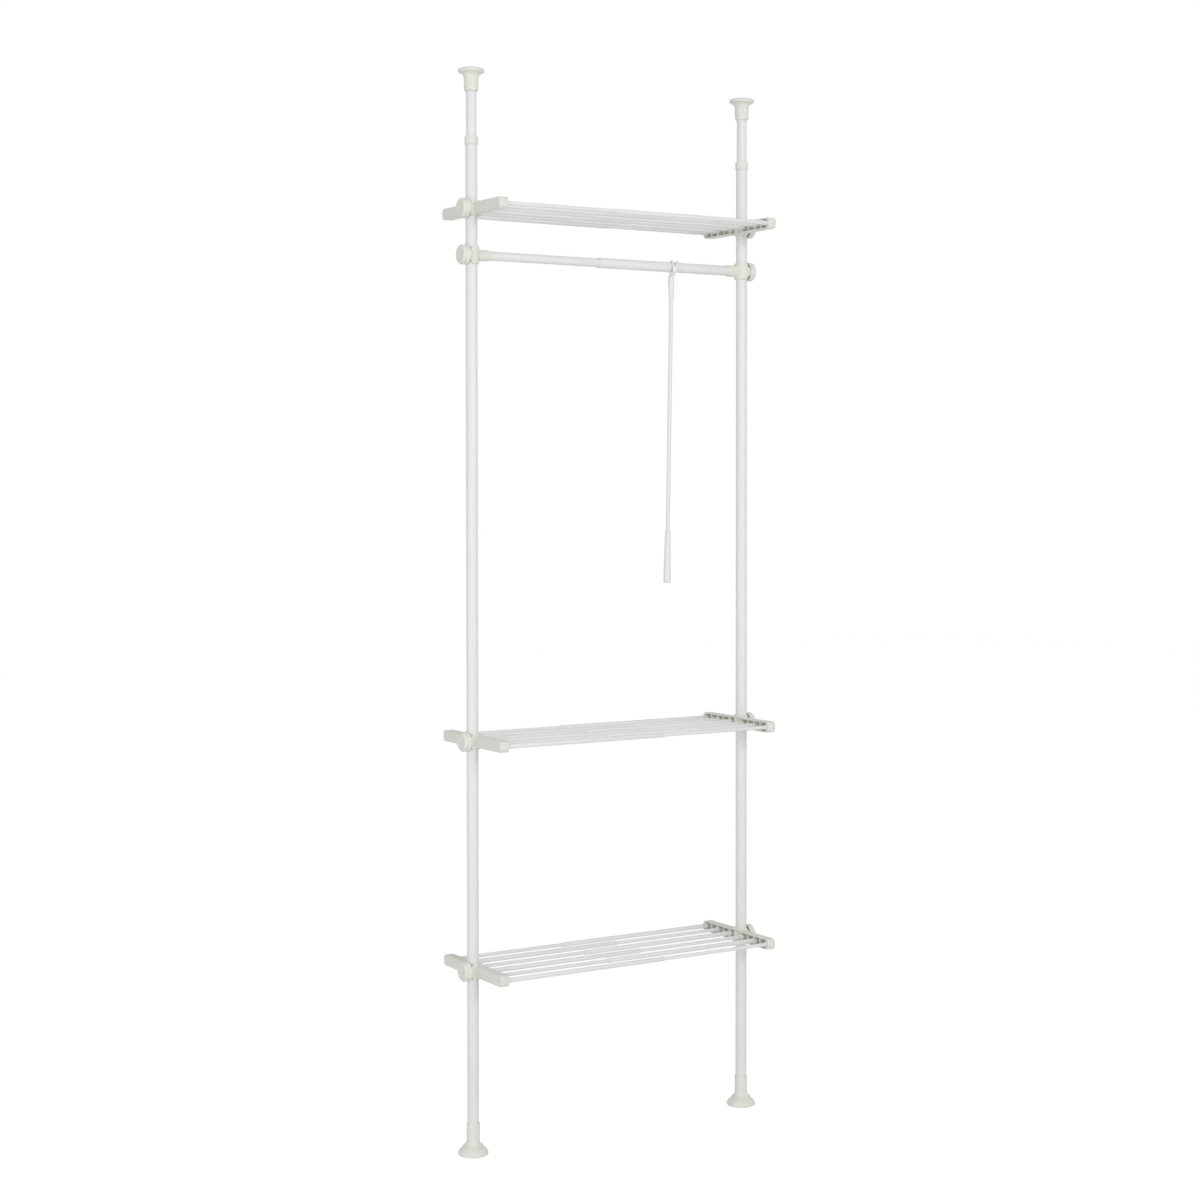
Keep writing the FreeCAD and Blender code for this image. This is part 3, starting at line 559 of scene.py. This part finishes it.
for columns, out in (((0,), 14.45), ((1, 7), 14.85)):
    draw_in(cap, lambda place: in_groove(place, columns), out / NECK)
close_up(cap)
on_both_poles(cap, "ceiling_cap", ivory_plastic)

PAD_SEAT = 2267.1
RING_DEPTH = 0.7

pad_profile = [(PAD_SEAT, 0.0), (PAD_SEAT, 25.0, 0.3), (CEILING, 25.0, 0.8)]
for groove in (20.5, 15.5, 10.5):
    pad_profile += [(CEILING, groove + 1.2, 0.2), (CEILING - RING_DEPTH, groove + 0.7, 0.3)]
    pad_profile += [(CEILING - RING_DEPTH, groove - 0.7, 0.3), (CEILING, groove - 1.2, 0.2)]
pad_profile += [(CEILING, 0.0)]
ceiling_pad = turn("ceiling_pad", pad_profile, ring=False, steps=2)
on_both_poles(ceiling_pad, "ceiling_pad", grey_rubber)

# %% [markdown]
# ## Clamp knobs
#
# A knob screws over the hub's two prongs and drives a saddle against the pole. It has a rim, a
# slight waist for the fingers and a rounded crown, with a shallow dish in its face. It is
# turned about the clamp's own axis, which runs along X, with the pole's axis at the origin.

# %% Knob
KNOB_INSIDE = -24.6

knob = turn(
    "knob",
    [
        (-27.3, 0.0),
        (-27.3, 13.2, 1.5),
        (-28.0, 14.6, 0.8),
        (-28.0, 17.6, 2.6),
        (-24.2, 20.9, 2.2),
        (-19.5, 20.1, 6.0),
        (-16.2, 20.5, 0.8),
        (-15.3, 21.4, 0.8),
        (-13.0, 21.4, 0.7),
        (-13.0, 16.8, 0.6),
        (KNOB_INSIDE, 16.8),
        (KNOB_INSIDE, 4.05),
        (-26.3, 4.05),
        (-26.3, 0.0),
    ],
    axis="X",
    segments=96,
    ring=False,
)
measure(knob)

# %% [markdown]
# ## Modifiers that are applied
#
# The other clamp parts aren't round, so they are cut and joined like clay: a Boolean takes one
# shape from another or adds it, and a narrow bevel then breaks every sharp edge. Each modifier
# is applied at once, so the next one works on real faces.


# %% Cut, join and bevel
def apply_modifier(piece, kind, **settings):
    """Add a modifier with these settings and apply it."""
    bpy.ops.object.select_all(action="DESELECT")
    bpy.context.view_layer.objects.active = piece
    piece.select_set(True)
    modifier = piece.modifiers.new(kind.title(), kind)
    for key, setting in settings.items():
        setattr(modifier, key, setting)
    bpy.ops.object.modifier_apply(modifier=modifier.name)


def combine(piece, tool, operation):
    """Cut the tool from the piece or add it, and discard the tool."""
    apply_modifier(piece, "BOOLEAN", operation=operation, solver="EXACT", object=tool)
    bpy.data.objects.remove(tool)


def break_edges(piece, width, degrees=35):
    """Bevel every edge sharper than an angle."""
    apply_modifier(
        piece,
        "BEVEL",
        width=width * MM,
        segments=2,
        limit_method="ANGLE",
        angle_limit=math.radians(degrees),
        miter_outer="MITER_ARC",
        harden_normals=False,
    )
    close_up(piece, 30)


def prism(name, outline, start, length, along):
    """Fill a closed outline of places in millimetres and extrude it along X, Y or Z."""
    points = [Vector(point) * MM for point in outline]
    piece = draw_line(name, points + points[:1])
    bpy.ops.mesh.remove_doubles(threshold=0.004 * MM)
    bpy.ops.mesh.edge_face_add()
    step = Vector([length * MM * (letter == along) for letter in "XYZ"])
    shift = Vector([start * MM * (letter == along) for letter in "XYZ"])
    bpy.ops.mesh.extrude_region_move(TRANSFORM_OT_translate={"value": step})
    bpy.ops.mesh.select_all(action="SELECT")
    bpy.ops.transform.translate(value=shift)
    bpy.ops.mesh.normals_make_consistent(inside=False)
    bpy.ops.object.mode_set(mode="OBJECT")
    return piece


def arc(centre_across, centre_up, radius, first, last, steps):
    """Places on an arc between two angles in degrees."""
    places = []
    for step in range(steps + 1):
        angle = math.radians(first + (last - first) * step / steps)
        places.append(
            (centre_across + radius * math.cos(angle), centre_up + radius * math.sin(angle))
        )
    return places


# %% [markdown]
# ## The clamp's own tools
#
# A hub slips on from inside. It is an upright sleeve round the pole, with two threaded prongs
# outside for the knob. Its slot is as wide as the pole, closed by a half round towards the
# middle of the unit and open outwards. Between knob and sleeve the lips are cut back in a V, so
# that they can spring when the knob draws them in.

# %% Slot, notches, sleeve and prongs
# The radii of the slot, of the sleeve and of the prongs, and then the thread's places
SEAT = 12.6
SLEEVE = 16.4
HUB = 16.5
PRONG_END = -24.0
THREAD_START = -14.4
THREAD_PITCH = 2.2
THREAD_DEPTH = 0.7
print("clamp: slot %.1f mm wide, sleeve %.1f, prongs %.1f" % (2 * SEAT, 2 * SLEEVE, 2 * HUB))


def pole_slot():
    """The tool that opens a hub round the pole."""
    outline = [(-30.0, -SEAT)] + arc(0.0, 0.0, SEAT, -90, 90, 32) + [(-30.0, SEAT)]
    return prism("pole_slot", [(x, y, 0.0) for x, y in outline], -60.0, 120.0, "Z")


def lip_notch(upward):
    """The tool that cuts one V between knob and sleeve, above (1) or below (-1)."""
    corners = [(-13.4, 6.8), (-3.0, 19.0), (-3.0, 40.0), (-13.4, 40.0)]
    return prism("notch", [(x, 0.0, upward * z) for x, z in corners], -40.0, 80.0, "Y")


def sleeve(half_height):
    """The upright sleeve, solid until the slot is cut."""
    profile = [
        (-half_height, 0.0),
        (-half_height, SLEEVE, 1.2),
        (half_height, SLEEVE, 1.2),
        (half_height, 0.0),
    ]
    return turn("sleeve", profile, "Z", segments=96, ring=False, steps=3)


def prongs():
    """The two prongs as one round stub with the knob's thread, before the slot parts them."""
    profile = [(-4.0, 0.0), (-4.0, HUB)]
    for ridge in range(4):
        thread = THREAD_START - THREAD_PITCH * ridge
        profile += [
            (thread, HUB, 0.2),
            (thread - THREAD_DEPTH, HUB - THREAD_DEPTH, 0.2),
            (thread - 2 * THREAD_DEPTH, HUB, 0.2),
        ]
    profile += [(PRONG_END, HUB, 1.0), (PRONG_END, 0.0)]
    return turn("prongs", profile, "X", segments=64, ring=False, steps=3)


def open_hub(piece):
    """Cut the slot and both notches, then break the edges."""
    combine(piece, pole_slot(), "DIFFERENCE")
    combine(piece, lip_notch(1), "DIFFERENCE")
    combine(piece, lip_notch(-1), "DIFFERENCE")
    break_edges(piece, 0.3, 40)


# %% [markdown]
# ## The saddle
#
# The saddle is the block that grips. It fills the slot's open end, hollowed to the pole, and its
# round pivot sits in the knob's bottom, so the knob can turn while the saddle only slides. It is
# a prism, because its section is the same all the way up.

# %% Saddle
# Half its width and half its height, and where its pivot ends
SADDLE_SIDE = 12.3
SADDLE_HALF = 10.7
PIVOT_END = -26.2

saddle_wrap = SEAT - 5.5
wrap_angle = math.degrees(math.acos(saddle_wrap / SEAT))
hollow = arc(0.0, 0.0, SEAT, 180 + wrap_angle, 180 - wrap_angle, 16)
saddle_outline = [(KNOB_INSIDE, -SADDLE_SIDE), (-saddle_wrap, -SADDLE_SIDE)] + hollow
saddle_outline += [(-saddle_wrap, SADDLE_SIDE), (KNOB_INSIDE, SADDLE_SIDE)]
saddle_places = [(x, y, 0.0) for x, y in saddle_outline]
saddle = prism("saddle", saddle_places, -SADDLE_HALF, 2 * SADDLE_HALF, "Z")
pivot_profile = [(-24.0, 0.0), (-24.0, 4.0), (PIVOT_END, 4.0, 0.3), (PIVOT_END, 0.0)]
combine(saddle, turn("pivot", pivot_profile, "X", ring=False), "UNION")
combine(saddle, lip_notch(1), "DIFFERENCE")
combine(saddle, lip_notch(-1), "DIFFERENCE")
break_edges(saddle, 0.3)
measure(saddle)

# %% [markdown]
# ## Shelf arms
#
# The arm is the unit's richest moulding: a beam with rounded ends, swelling into the clamp's
# sleeve, hollowed from inside into cells with a rib between every two, and bored for six bars.
# It is drawn from its side, extruded, and then cut. The outside edge is rounded most, because
# hands and clothes pass there.

# %% The arm's side view
PITCH = 47.2
ARM_HALF = 126.0
ARM_TALL = 12.0
ARM_CORNER = 8.0
ARM_BACK = -3.0
ARM_DEPTH = 20.0
GUSSET = 80.0


def arm_side():
    """The arm's outline seen along X: rounded ends and a concave sweep up to the hub."""
    reach = math.sqrt((HUB + GUSSET) ** 2 - (ARM_TALL + GUSSET) ** 2)
    touch = math.degrees(math.asin(reach / (HUB + GUSSET)))
    corner = (ARM_HALF - ARM_CORNER, ARM_TALL - ARM_CORNER)
    upper = arc(corner[0], corner[1], ARM_CORNER, 0, 90, 8)
    upper += arc(reach, ARM_TALL + GUSSET, GUSSET, -90, -90 - touch, 8)
    upper += arc(-reach, ARM_TALL + GUSSET, GUSSET, -90 + touch, -90, 8)
    upper += arc(-corner[0], corner[1], ARM_CORNER, 90, 180, 8)
    lower = [(-across, -up) for across, up in upper]
    return upper + lower


side_places = [(0.0, across, up) for across, up in arm_side()]
beam = prism("arm", side_places, ARM_BACK, ARM_DEPTH, "X")


# %% Round the beam's outside edge
def bevel_face_rim(piece, normal, width, segments):
    """Bevel the rim of the flat face that looks along a direction."""
    bpy.ops.object.select_all(action="DESELECT")
    bpy.context.view_layer.objects.active = piece
    piece.select_set(True)
    bpy.context.tool_settings.mesh_select_mode = (False, False, True)
    for part in (*piece.data.vertices, *piece.data.edges):
        part.select = False
    for face in piece.data.polygons:
        face.select = face.normal.dot(Vector(normal)) > 0.99
    bpy.ops.object.mode_set(mode="EDIT")
    bpy.ops.mesh.region_to_loop()
    bpy.ops.mesh.bevel(offset=width * MM, segments=segments, affect="EDGES")
    bpy.ops.object.mode_set(mode="OBJECT")


bevel_face_rim(beam, (-1, 0, 0), 2.6, 4)
bevel_face_rim(beam, (1, 0, 0), 0.7, 2)

# %% [markdown]
# ## From beam to sleeve
#
# The sleeve stands out behind the beam, and a mould needs a round, not a sharp corner, where the
# two meet. Each blend is a small prism with one hollow side, whose arc touches both the beam's
# back and the sleeve.

# %% Blend the beam's back into the sleeve
BLEND = 6.0
BLEND_HALF = 12.6
blend_x = ARM_BACK - BLEND
blend_y = math.sqrt((SLEEVE + BLEND) ** 2 - blend_x**2)
turn_in = math.degrees(math.atan2(blend_y, -blend_x))
for direction in (-1, 1):
    web = arc(blend_x, -blend_y, BLEND, 0.0, turn_in, 8) + [(2.0, -10.0), (2.0, -blend_y)]
    outline = [(x, direction * y, 0.0) for x, y in web]
    combine(beam, prism("web", outline, -BLEND_HALF, 2 * BLEND_HALF, "Z"), "UNION")
measure(beam)

# %% [markdown]
# ## Cells, sockets and hub
#
# Ten cells leave a rib at each bar and one halfway between bars. A round boss on the rib holds
# the bar. The two cells in the middle are taller, and the sleeve stands in them, tied to the face
# by the middle rib. The six sockets alternate: three for the thick tubes that start in this arm
# and three for the thin ones.

# %% Cut the cells
RIB = 3.0
MIDDLE_RIB = 3.6
MIDDLE_TALL = 11.0
CELL_FLOOR = -0.5
cell_tall = ARM_TALL - 2.5
cell_far = (PITCH - RIB) / 2
BARS = {"outer": (-2.5, -0.5, 1.5), "inner": (-1.5, 0.5, 2.5)}


def rounded_box(across_low, across_high, tall=cell_tall):
    """A cell's tool, with rounded upright corners as a mould's core has."""
    corners = [
        (across_low, -tall, 1.2),
        (across_high, -tall, 1.2),
        (across_high, tall, 1.2),
        (across_low, tall, 1.2),
    ]
    outline = [(0.0, point[0], point[1]) for point in rounded(corners, 3)]
    return prism("cell", outline, CELL_FLOOR, 30.0, "X")


for direction in (-2, -1, 1, 2):
    for low, high in ((RIB / 2, cell_far), (-cell_far, -RIB / 2)):
        combine(beam, rounded_box(direction * PITCH + low, direction * PITCH + high), "DIFFERENCE")
for low, high in ((MIDDLE_RIB / 2, cell_far - 1.0), (1.0 - cell_far, -MIDDLE_RIB / 2)):
    combine(beam, rounded_box(low, high, MIDDLE_TALL), "DIFFERENCE")
for bar in BARS["outer"] + BARS["inner"]:
    boss_profile = [(-0.9, 0.0), (-0.9, 6.5), (16.95, 6.5, 0.4), (16.95, 0.0)]
    boss = turn("boss", boss_profile, "X", (0.0, bar * PITCH, 0.0), 48, ring=False)
    combine(beam, boss, "UNION")
measure(beam)

# %% Add the sleeve and prongs, then bore the sockets and open the hub
THICK_BAR = 5.0
THIN_BAR = 4.0

combine(beam, sleeve(HUB), "UNION")
combine(beam, prongs(), "UNION")


def socket_tool(place, radius):
    """A drill with a countersink for one bar."""
    profile = [(CELL_FLOOR, 0.0), (CELL_FLOOR, radius)]
    profile += [(16.4, radius), (17.6, radius + 1.2), (17.6, 0.0)]
    return turn("socket", profile, "X", (0.0, place, 0.0), 32, ring=False)


for bars, radius in ((BARS["outer"], THICK_BAR), (BARS["inner"], THIN_BAR)):
    for bar in bars:
        combine(beam, socket_tool(bar * PITCH, radius + FIT), "DIFFERENCE")
open_hub(beam)
measure(beam)

# %% [markdown]
# ## Shelf bars
#
# Each shelf has six telescopic bars: a thick tube from one arm and a thin tube from the other,
# alternating, so that the shelf is equally stiff at both ends. A bar is turned once, copied to
# its three places, and the three are joined because they move as one.

# %% Bars
BAR_WALL = 0.8

# How far past the middle of the unit the thick tubes end, and where the thin ones end
TOP_REACH = 66.0
REACH = 56.0
THIN_BAR_END = 409.5


def bar_set(name, radius, end, bars):
    """Three tubes from their sockets' floors to the same end."""
    first = tube("bar", radius, radius - BAR_WALL, CELL_FLOOR, end, 0.3, "X", segments=32)
    places = [Matrix.Translation(Vector((0, bar * PITCH, 0)) * MM) for bar in bars]
    copies = [copy_at(first, "%s_%d" % (name, index), place) for index, place in enumerate(places)]
    bpy.data.objects.remove(first)
    bpy.ops.object.select_all(action="DESELECT")
    for copy in copies:
        copy.select_set(True)
    bpy.context.view_layer.objects.active = copies[0]
    bpy.ops.object.join()
    return copies[0]


long_tubes = bar_set("long_tubes", THICK_BAR, POLE_X + TOP_REACH, BARS["outer"])
short_tubes = bar_set("short_tubes", THICK_BAR, POLE_X + REACH, BARS["outer"])
thin_tubes = bar_set("thin_tubes", THIN_BAR, THIN_BAR_END, BARS["inner"])
measure(long_tubes)
measure(short_tubes)
measure(thin_tubes)

# %% [markdown]
# ## Three shelves
#
# The same arm, tubes, saddle and knob serve at every height. The top shelf is turned over, so
# its bars lie the other way round, and its thick tubes reach a little further past the middle.

# %% Set up the three shelves
SHELVES = (
    ("top", 1981.0, True, long_tubes),
    ("middle", 870.0, False, short_tubes),
    ("lower", 388.0, False, short_tubes),
)
for shelf, height, flipped, thick in SHELVES:
    for side_name, side in SIDES:
        stem = "%s_%s_" % (shelf, side_name)
        made = (
            (beam, "arm", ivory_plastic),
            (thick, "outer_tubes", powder_coat),
            (thin_tubes, "inner_tubes", powder_coat),
            (saddle, "saddle", ivory_plastic),
            (knob, "knob", ivory_plastic),
        )
        for master, part, finish in made:
            copy = copy_at(master, stem + part + "_fine", on_pole(side, height, flipped))
            stand_in(copy, stem + part, finish)
for master in (beam, long_tubes, short_tubes, thin_tubes):
    bpy.data.objects.remove(master)
print("shelves:", len(SHELVES))

# %% [markdown]
# ## The hanging rail
#
# The rail is telescopic too. Each end sits in a bracket: the same sleeve and prongs as an arm's,
# a little taller, and a socket that narrows to the rail. The socket is turned about the rail's
# own axis with its bore, and the pole slot is cut across it.

# %% Brackets and rail tubes
RAIL_HEIGHT = 1884.6
SOCKET_FLOOR = 16.0
SOCKET_MOUTH = 41.0
BRACKET_HALF = 18.4


def bracket(rail_radius):
    """The end bracket for a rail tube of this radius."""
    socket = rail_radius + 1.95
    profile = [
        (SOCKET_FLOOR, 0.0),
        (SOCKET_FLOOR, rail_radius + FIT),
        (SOCKET_MOUTH, rail_radius + FIT, 0.2),
        (SOCKET_MOUTH, rail_radius + 1.0, 0.4),
        (38.2, socket, 0.8),
        (5.0, socket),
        (5.0, 0.0),
    ]
    piece = turn("bracket", profile, "X", segments=64, ring=False)
    combine(piece, sleeve(BRACKET_HALF), "UNION")
    combine(piece, prongs(), "UNION")
    open_hub(piece)
    return piece


# Each end's name, side, tube, and that tube's radius, wall and far end
rail_parts = (
    ("rail_left", -1, "rail_thin_tube", 9.5, 1.0, 438.0),
    ("rail_right", 1, "rail_thick_tube", 11.0, 1.2, POLE_X + 36.0),
)
for stem, side, tube_name, radius, wall, end in rail_parts:
    place = on_pole(side, RAIL_HEIGHT)
    rail_tube = tube("rail", radius, radius - wall, SOCKET_FLOOR, end, BROKEN_EDGE, "X")
    made = (
        (bracket(radius), stem + "_bracket", ivory_plastic),
        (rail_tube, tube_name, powder_coat),
        (saddle, stem + "_saddle", ivory_plastic),
        (knob, stem + "_knob", ivory_plastic),
    )
    for master, node, finish in made:
        stand_in(copy_at(master, node + "_fine", place), node, finish)
    bpy.data.objects.remove(made[0][0])
    bpy.data.objects.remove(rail_tube)
for master in (saddle, knob):
    bpy.data.objects.remove(master)
print("rail: two brackets, two tubes")

# %% [markdown]
# ## The hook wand
#
# A light rod for reaching hangers hangs on the rail by its two-fingered hook. Its pieces are
# made about the rail's axis, and then take the wand's own place: turned by twenty degrees and
# leaning by one.

# %% Shaft and grip
WAND_X = 164.6
WAND_LEAN = 1.0
WAND_YAW = -20.0
WAND_AXIS = (-8.0, -2.9, 0.0)
SHAFT = 4.5
SHAFT_TOP = -42.0
SHAFT_BOTTOM = -610.0

wand_place = (
    Matrix.Translation(Vector((WAND_X, 0.0, RAIL_HEIGHT)) * MM)
    @ Matrix.Rotation(math.radians(WAND_LEAN), 4, "Y")
    @ Matrix.Rotation(math.radians(WAND_YAW), 4, "Z")
)
shaft = tube("shaft", SHAFT, 3.7, SHAFT_BOTTOM, SHAFT_TOP, 0.3, "Z", WAND_AXIS, 32)
grip = turn(
    "grip",
    [
        (-696.0, 0.0),
        (-696.0, 8.0, 5.2),
        (-672.0, 8.0, 30.0),
        (-580.0, 5.85, 0.8),
        (-580.0, SHAFT + FIT, 0.2),
        (SHAFT_BOTTOM, SHAFT + FIT),
        (SHAFT_BOTTOM, 0.0),
    ],
    "Z",
    WAND_AXIS,
    ring=False,
    steps=6,
)
measure(shaft)
measure(grip)

# %% [markdown]
# ## The hook
#
# Each finger is one face swept like a paper strip: up behind the rail and over it in short steps,
# each a turn and a push sideways, so that the two fingers close in front of the rail. There they
# meet in the neck, which runs back under the rail to the shaft's head.

# %% Hook fingers
ARCH_UP = -5.7
ARCH = 18.9
ARCH_STEPS = 24

# The middle between the fingers and each finger's distance from it, along the rail
BEHIND = (-1.4, 6.7)
IN_FRONT = (-4.7, 2.2)


def pick_face(piece, place):
    """Select the one face whose middle is nearest to a place in millimetres."""
    bpy.ops.object.mode_set(mode="OBJECT")
    bpy.context.tool_settings.mesh_select_mode = (False, False, True)
    for part in (*piece.data.vertices, *piece.data.edges, *piece.data.polygons):
        part.select = False
    goal = Vector(place) * MM
    nearest = min(piece.data.polygons, key=lambda face: (face.center - goal).length)
    nearest.select = True
    bpy.ops.object.mode_set(mode="EDIT")


def push_face(piece, here, there, share=(1.0, 1.0, 1.0)):
    """Extrude the face at one place to another and scale it there."""
    pick_face(piece, here)
    step = (Vector(there) - Vector(here)) * MM
    bpy.ops.mesh.extrude_region_move(TRANSFORM_OT_translate={"value": step})
    bpy.ops.transform.resize(value=share, center_override=Vector(there) * MM)


def across_at(side, step):
    """How far along the rail a finger is at a step of its arch, with both closing in front."""
    share = max(0.0, 2.0 * step / ARCH_STEPS - 1.0) ** 0.8
    behind = BEHIND[0] + side * BEHIND[1]
    in_front = IN_FRONT[0] + side * IN_FRONT[1]
    return (1 - share) * behind + share * in_front


def finger(side):
    """One finger, swept from its tail to the head."""
    across = across_at(side, 0)
    corners = [(-2.6, -1.9, 0.9), (2.6, -1.9, 0.9), (2.6, 1.9, 0.9), (-2.6, 1.9, 0.9)]
    section = [(across + x, ARCH + y, 0.0) for x, y in rounded(corners, 2)]
    piece = prism("finger", section, ARCH_UP - 4.0, 4.0, "Z")
    pick_face(piece, (across, ARCH, ARCH_UP))
    for step in range(1, ARCH_STEPS + 1):
        bpy.ops.mesh.spin(
            steps=1,
            angle=math.pi / ARCH_STEPS,
            center=Vector((0, 0, ARCH_UP)) * MM,
            axis=(-1.0, 0.0, 0.0),
        )
        drift = across_at(side, step) - across_at(side, step - 1)
        bpy.ops.transform.translate(value=(drift * MM, 0.0, 0.0))
    front = (across_at(side, ARCH_STEPS), -ARCH, ARCH_UP)
    neck = (-5.3 + side * 1.0, -ARCH, -10.5)
    push_face(piece, front, neck, (1.0, 1.1, 1.0))
    push_face(piece, neck, (-8.8 + side * 1.2, -3.4, -26.0), (1.1, 1.5, 1.0))
    return close_up(piece)


head_axis = (WAND_AXIS[0] - 1.0, WAND_AXIS[1], 0.0)
head_profile = [
    (-12.5, 0.0),
    (-12.5, 1.8, 0.8),
    (-19.0, 5.4, 3.0),
    (-29.0, 7.1, 4.0),
    (-60.0, 4.8),
    (-60.0, 0.0),
]
ferrule_profile = [(-24.0, 0.0), (-24.0, 5.6, 2.0), (-40.0, 6.2, 8.0), (-72.0, 5.2), (-72.0, 0.0)]
hook = turn("hook", ferrule_profile, "Z", WAND_AXIS, ring=False)
head = turn("head", head_profile, "Z", head_axis, ring=False)
fingers = [finger(-1), finger(1)]
bpy.ops.object.select_all(action="DESELECT")
for piece in (hook, head, *fingers):
    piece.select_set(True)
bpy.context.view_layer.objects.active = hook
bpy.ops.object.join()
measure(hook)

# %% [markdown]
# ## One skin
#
# Swept pieces that only overlap look like pegs. Remeshing at about a third of a millimetre makes
# one skin of them, a little smoothing gives it the soft corners of a moulding, and decimation
# takes out three faces in four. The bore comes last, because it has to stay round.

# %% Melt the hook into one skin and bore it for the shaft
apply_modifier(hook, "REMESH", mode="VOXEL", voxel_size=0.35 * MM)
apply_modifier(hook, "SMOOTH", factor=0.5, iterations=6)
apply_modifier(hook, "DECIMATE", ratio=0.25)
bore = SHAFT + FIT
bore_profile = [(-80.0, 0.0), (-80.0, bore), (SHAFT_TOP, bore), (SHAFT_TOP, 0.0)]
combine(hook, turn("bore", bore_profile, "Z", WAND_AXIS, ring=False), "DIFFERENCE")
close_up(hook, 40)
measure(hook)
for master, part, finish in (
    (hook, "wand_hook", white_plastic),
    (shaft, "wand_shaft", powder_coat),
    (grip, "wand_grip", white_plastic),
):
    stand_in(copy_at(master, part + "_fine", wand_place), part, finish)
    bpy.data.objects.remove(master)

# %% [markdown]
# ## Solids that stay
#
# The lock plugs and jack inserts are hidden in the poles, and their solids already have the
# right shape. They only get the nylon finish in their own slots.

# %% Finish the hidden solids
for side_name, side in SIDES:
    for part in ("lock_plug", "jack_insert"):
        solid = frame["nodes"]["%s_%s" % (side_name, part)]
        for slot in solid.material_slots:
            slot.material = natural_nylon
        measure(solid)

# %% [markdown]
# ## Floor and light
#
# The unit stands in a white studio. The floor shows white to the camera but still takes a soft
# shadow, because only part of what the camera sees of it is lit: the rest is its own glow.
# Other rays see a plain pale floor.


# %% Studio
def only_for_camera(start, seen, lit):
    """Mix two shaders: camera, glossy and glass rays meet the first, others the second."""
    kinds = [start.node("ShaderNodeLightPath", output=output) for output in (0, 3, 6)]
    mask = kinds[0] + kinds[1] + kinds[2]
    mask = start.node("ShaderNodeClamp", inputs={"Value": mask})
    return start.node("ShaderNodeMixShader", inputs={0: mask, 1: lit, 2: seen})


floor_finish = bpy.data.materials.new("studio_floor")
floor_finish.use_nodes = True
floor_start = Signal(floor_finish.node_tree)
floor_finish.node_tree.nodes.remove(floor_finish.node_tree.nodes["Principled BSDF"])
glow = floor_start.node("ShaderNodeEmission", inputs={"Color": (1, 1, 1, 1), "Strength": 0.58})
matt = floor_start.node("ShaderNodeBsdfDiffuse", inputs={"Color": (0.80, 0.80, 0.80, 1)})
seen = floor_start.node("ShaderNodeAddShader", inputs={0: glow, 1: matt})
pale = floor_start.node("ShaderNodeBsdfDiffuse", inputs={"Color": (0.92, 0.92, 0.91, 1)})
surface = only_for_camera(floor_start, seen, pale)
output = floor_finish.node_tree.nodes["Material Output"]
floor_finish.node_tree.links.new(surface.socket, output.inputs["Surface"])

bpy.ops.object.select_all(action="DESELECT")
bpy.ops.mesh.primitive_plane_add(size=24.0, location=(0, 0, 0))
floor = bpy.context.object
floor.name = "studio_floor"
floor.data.materials.append(floor_finish)

# %% [markdown]
# ## Sky and lamps
#
# A sky that is brighter in front of the unit than behind it gives every tube its soft gradient.
# One broad lamp, far in front and well above, reaches over a shelf's front bar to the bars
# behind it. A weaker one at the left lifts the insides of the right arms.

# %% World and lamps
world = bpy.data.worlds.new("studio_world")
bpy.context.scene.world = world
world.use_nodes = True
world_start = Signal(world.node_tree)
world.node_tree.nodes.remove(world.node_tree.nodes["Background"])
white = world_start.node("ShaderNodeBackground", inputs={"Color": (1, 1, 1, 1), "Strength": 1.0})
BRIGHTEST = Vector((-0.35, -0.93, -0.15)).normalized()
toward = world_start.node("ShaderNodeTexCoord", output=0)
facing = world_start.node(
    "ShaderNodeVectorMath", {"operation": "DOT_PRODUCT"}, {0: toward, 1: BRIGHTEST}, output=1
)
sky = world_start.node(
    "ShaderNodeBackground", inputs={"Color": (1, 1, 1, 1), "Strength": 0.54 + facing * 0.24}
)
backdrop = only_for_camera(world_start, white, sky)
world_output = world.node_tree.nodes["World Output"]
world.node_tree.links.new(backdrop.socket, world_output.inputs["Surface"])


def softbox(name, place, aim, width, height, watts):
    """A rectangular lamp at a place that looks at another."""
    data = bpy.data.lights.new(name, "AREA")
    data.shape = "RECTANGLE"
    data.size, data.size_y, data.energy = width, height, watts
    lamp = bpy.data.objects.new(name, data)
    lamp.location = place
    lamp.rotation_euler = (Vector(aim) - Vector(place)).to_track_quat("-Z", "Y").to_euler()
    bpy.context.scene.collection.objects.link(lamp)


softbox("key_softbox", (-0.6, -6.0, 3.3), (0.0, 0.0, 0.6), 3.0, 1.6, 98.0)
softbox("side_softbox", (-4.0, -1.4, 0.8), (0.0, 0.0, 0.9), 3.0, 1.6, 26.0)
bpy.context.scene.view_settings.view_transform = "Standard"
print("studio: floor, sky, two softboxes")
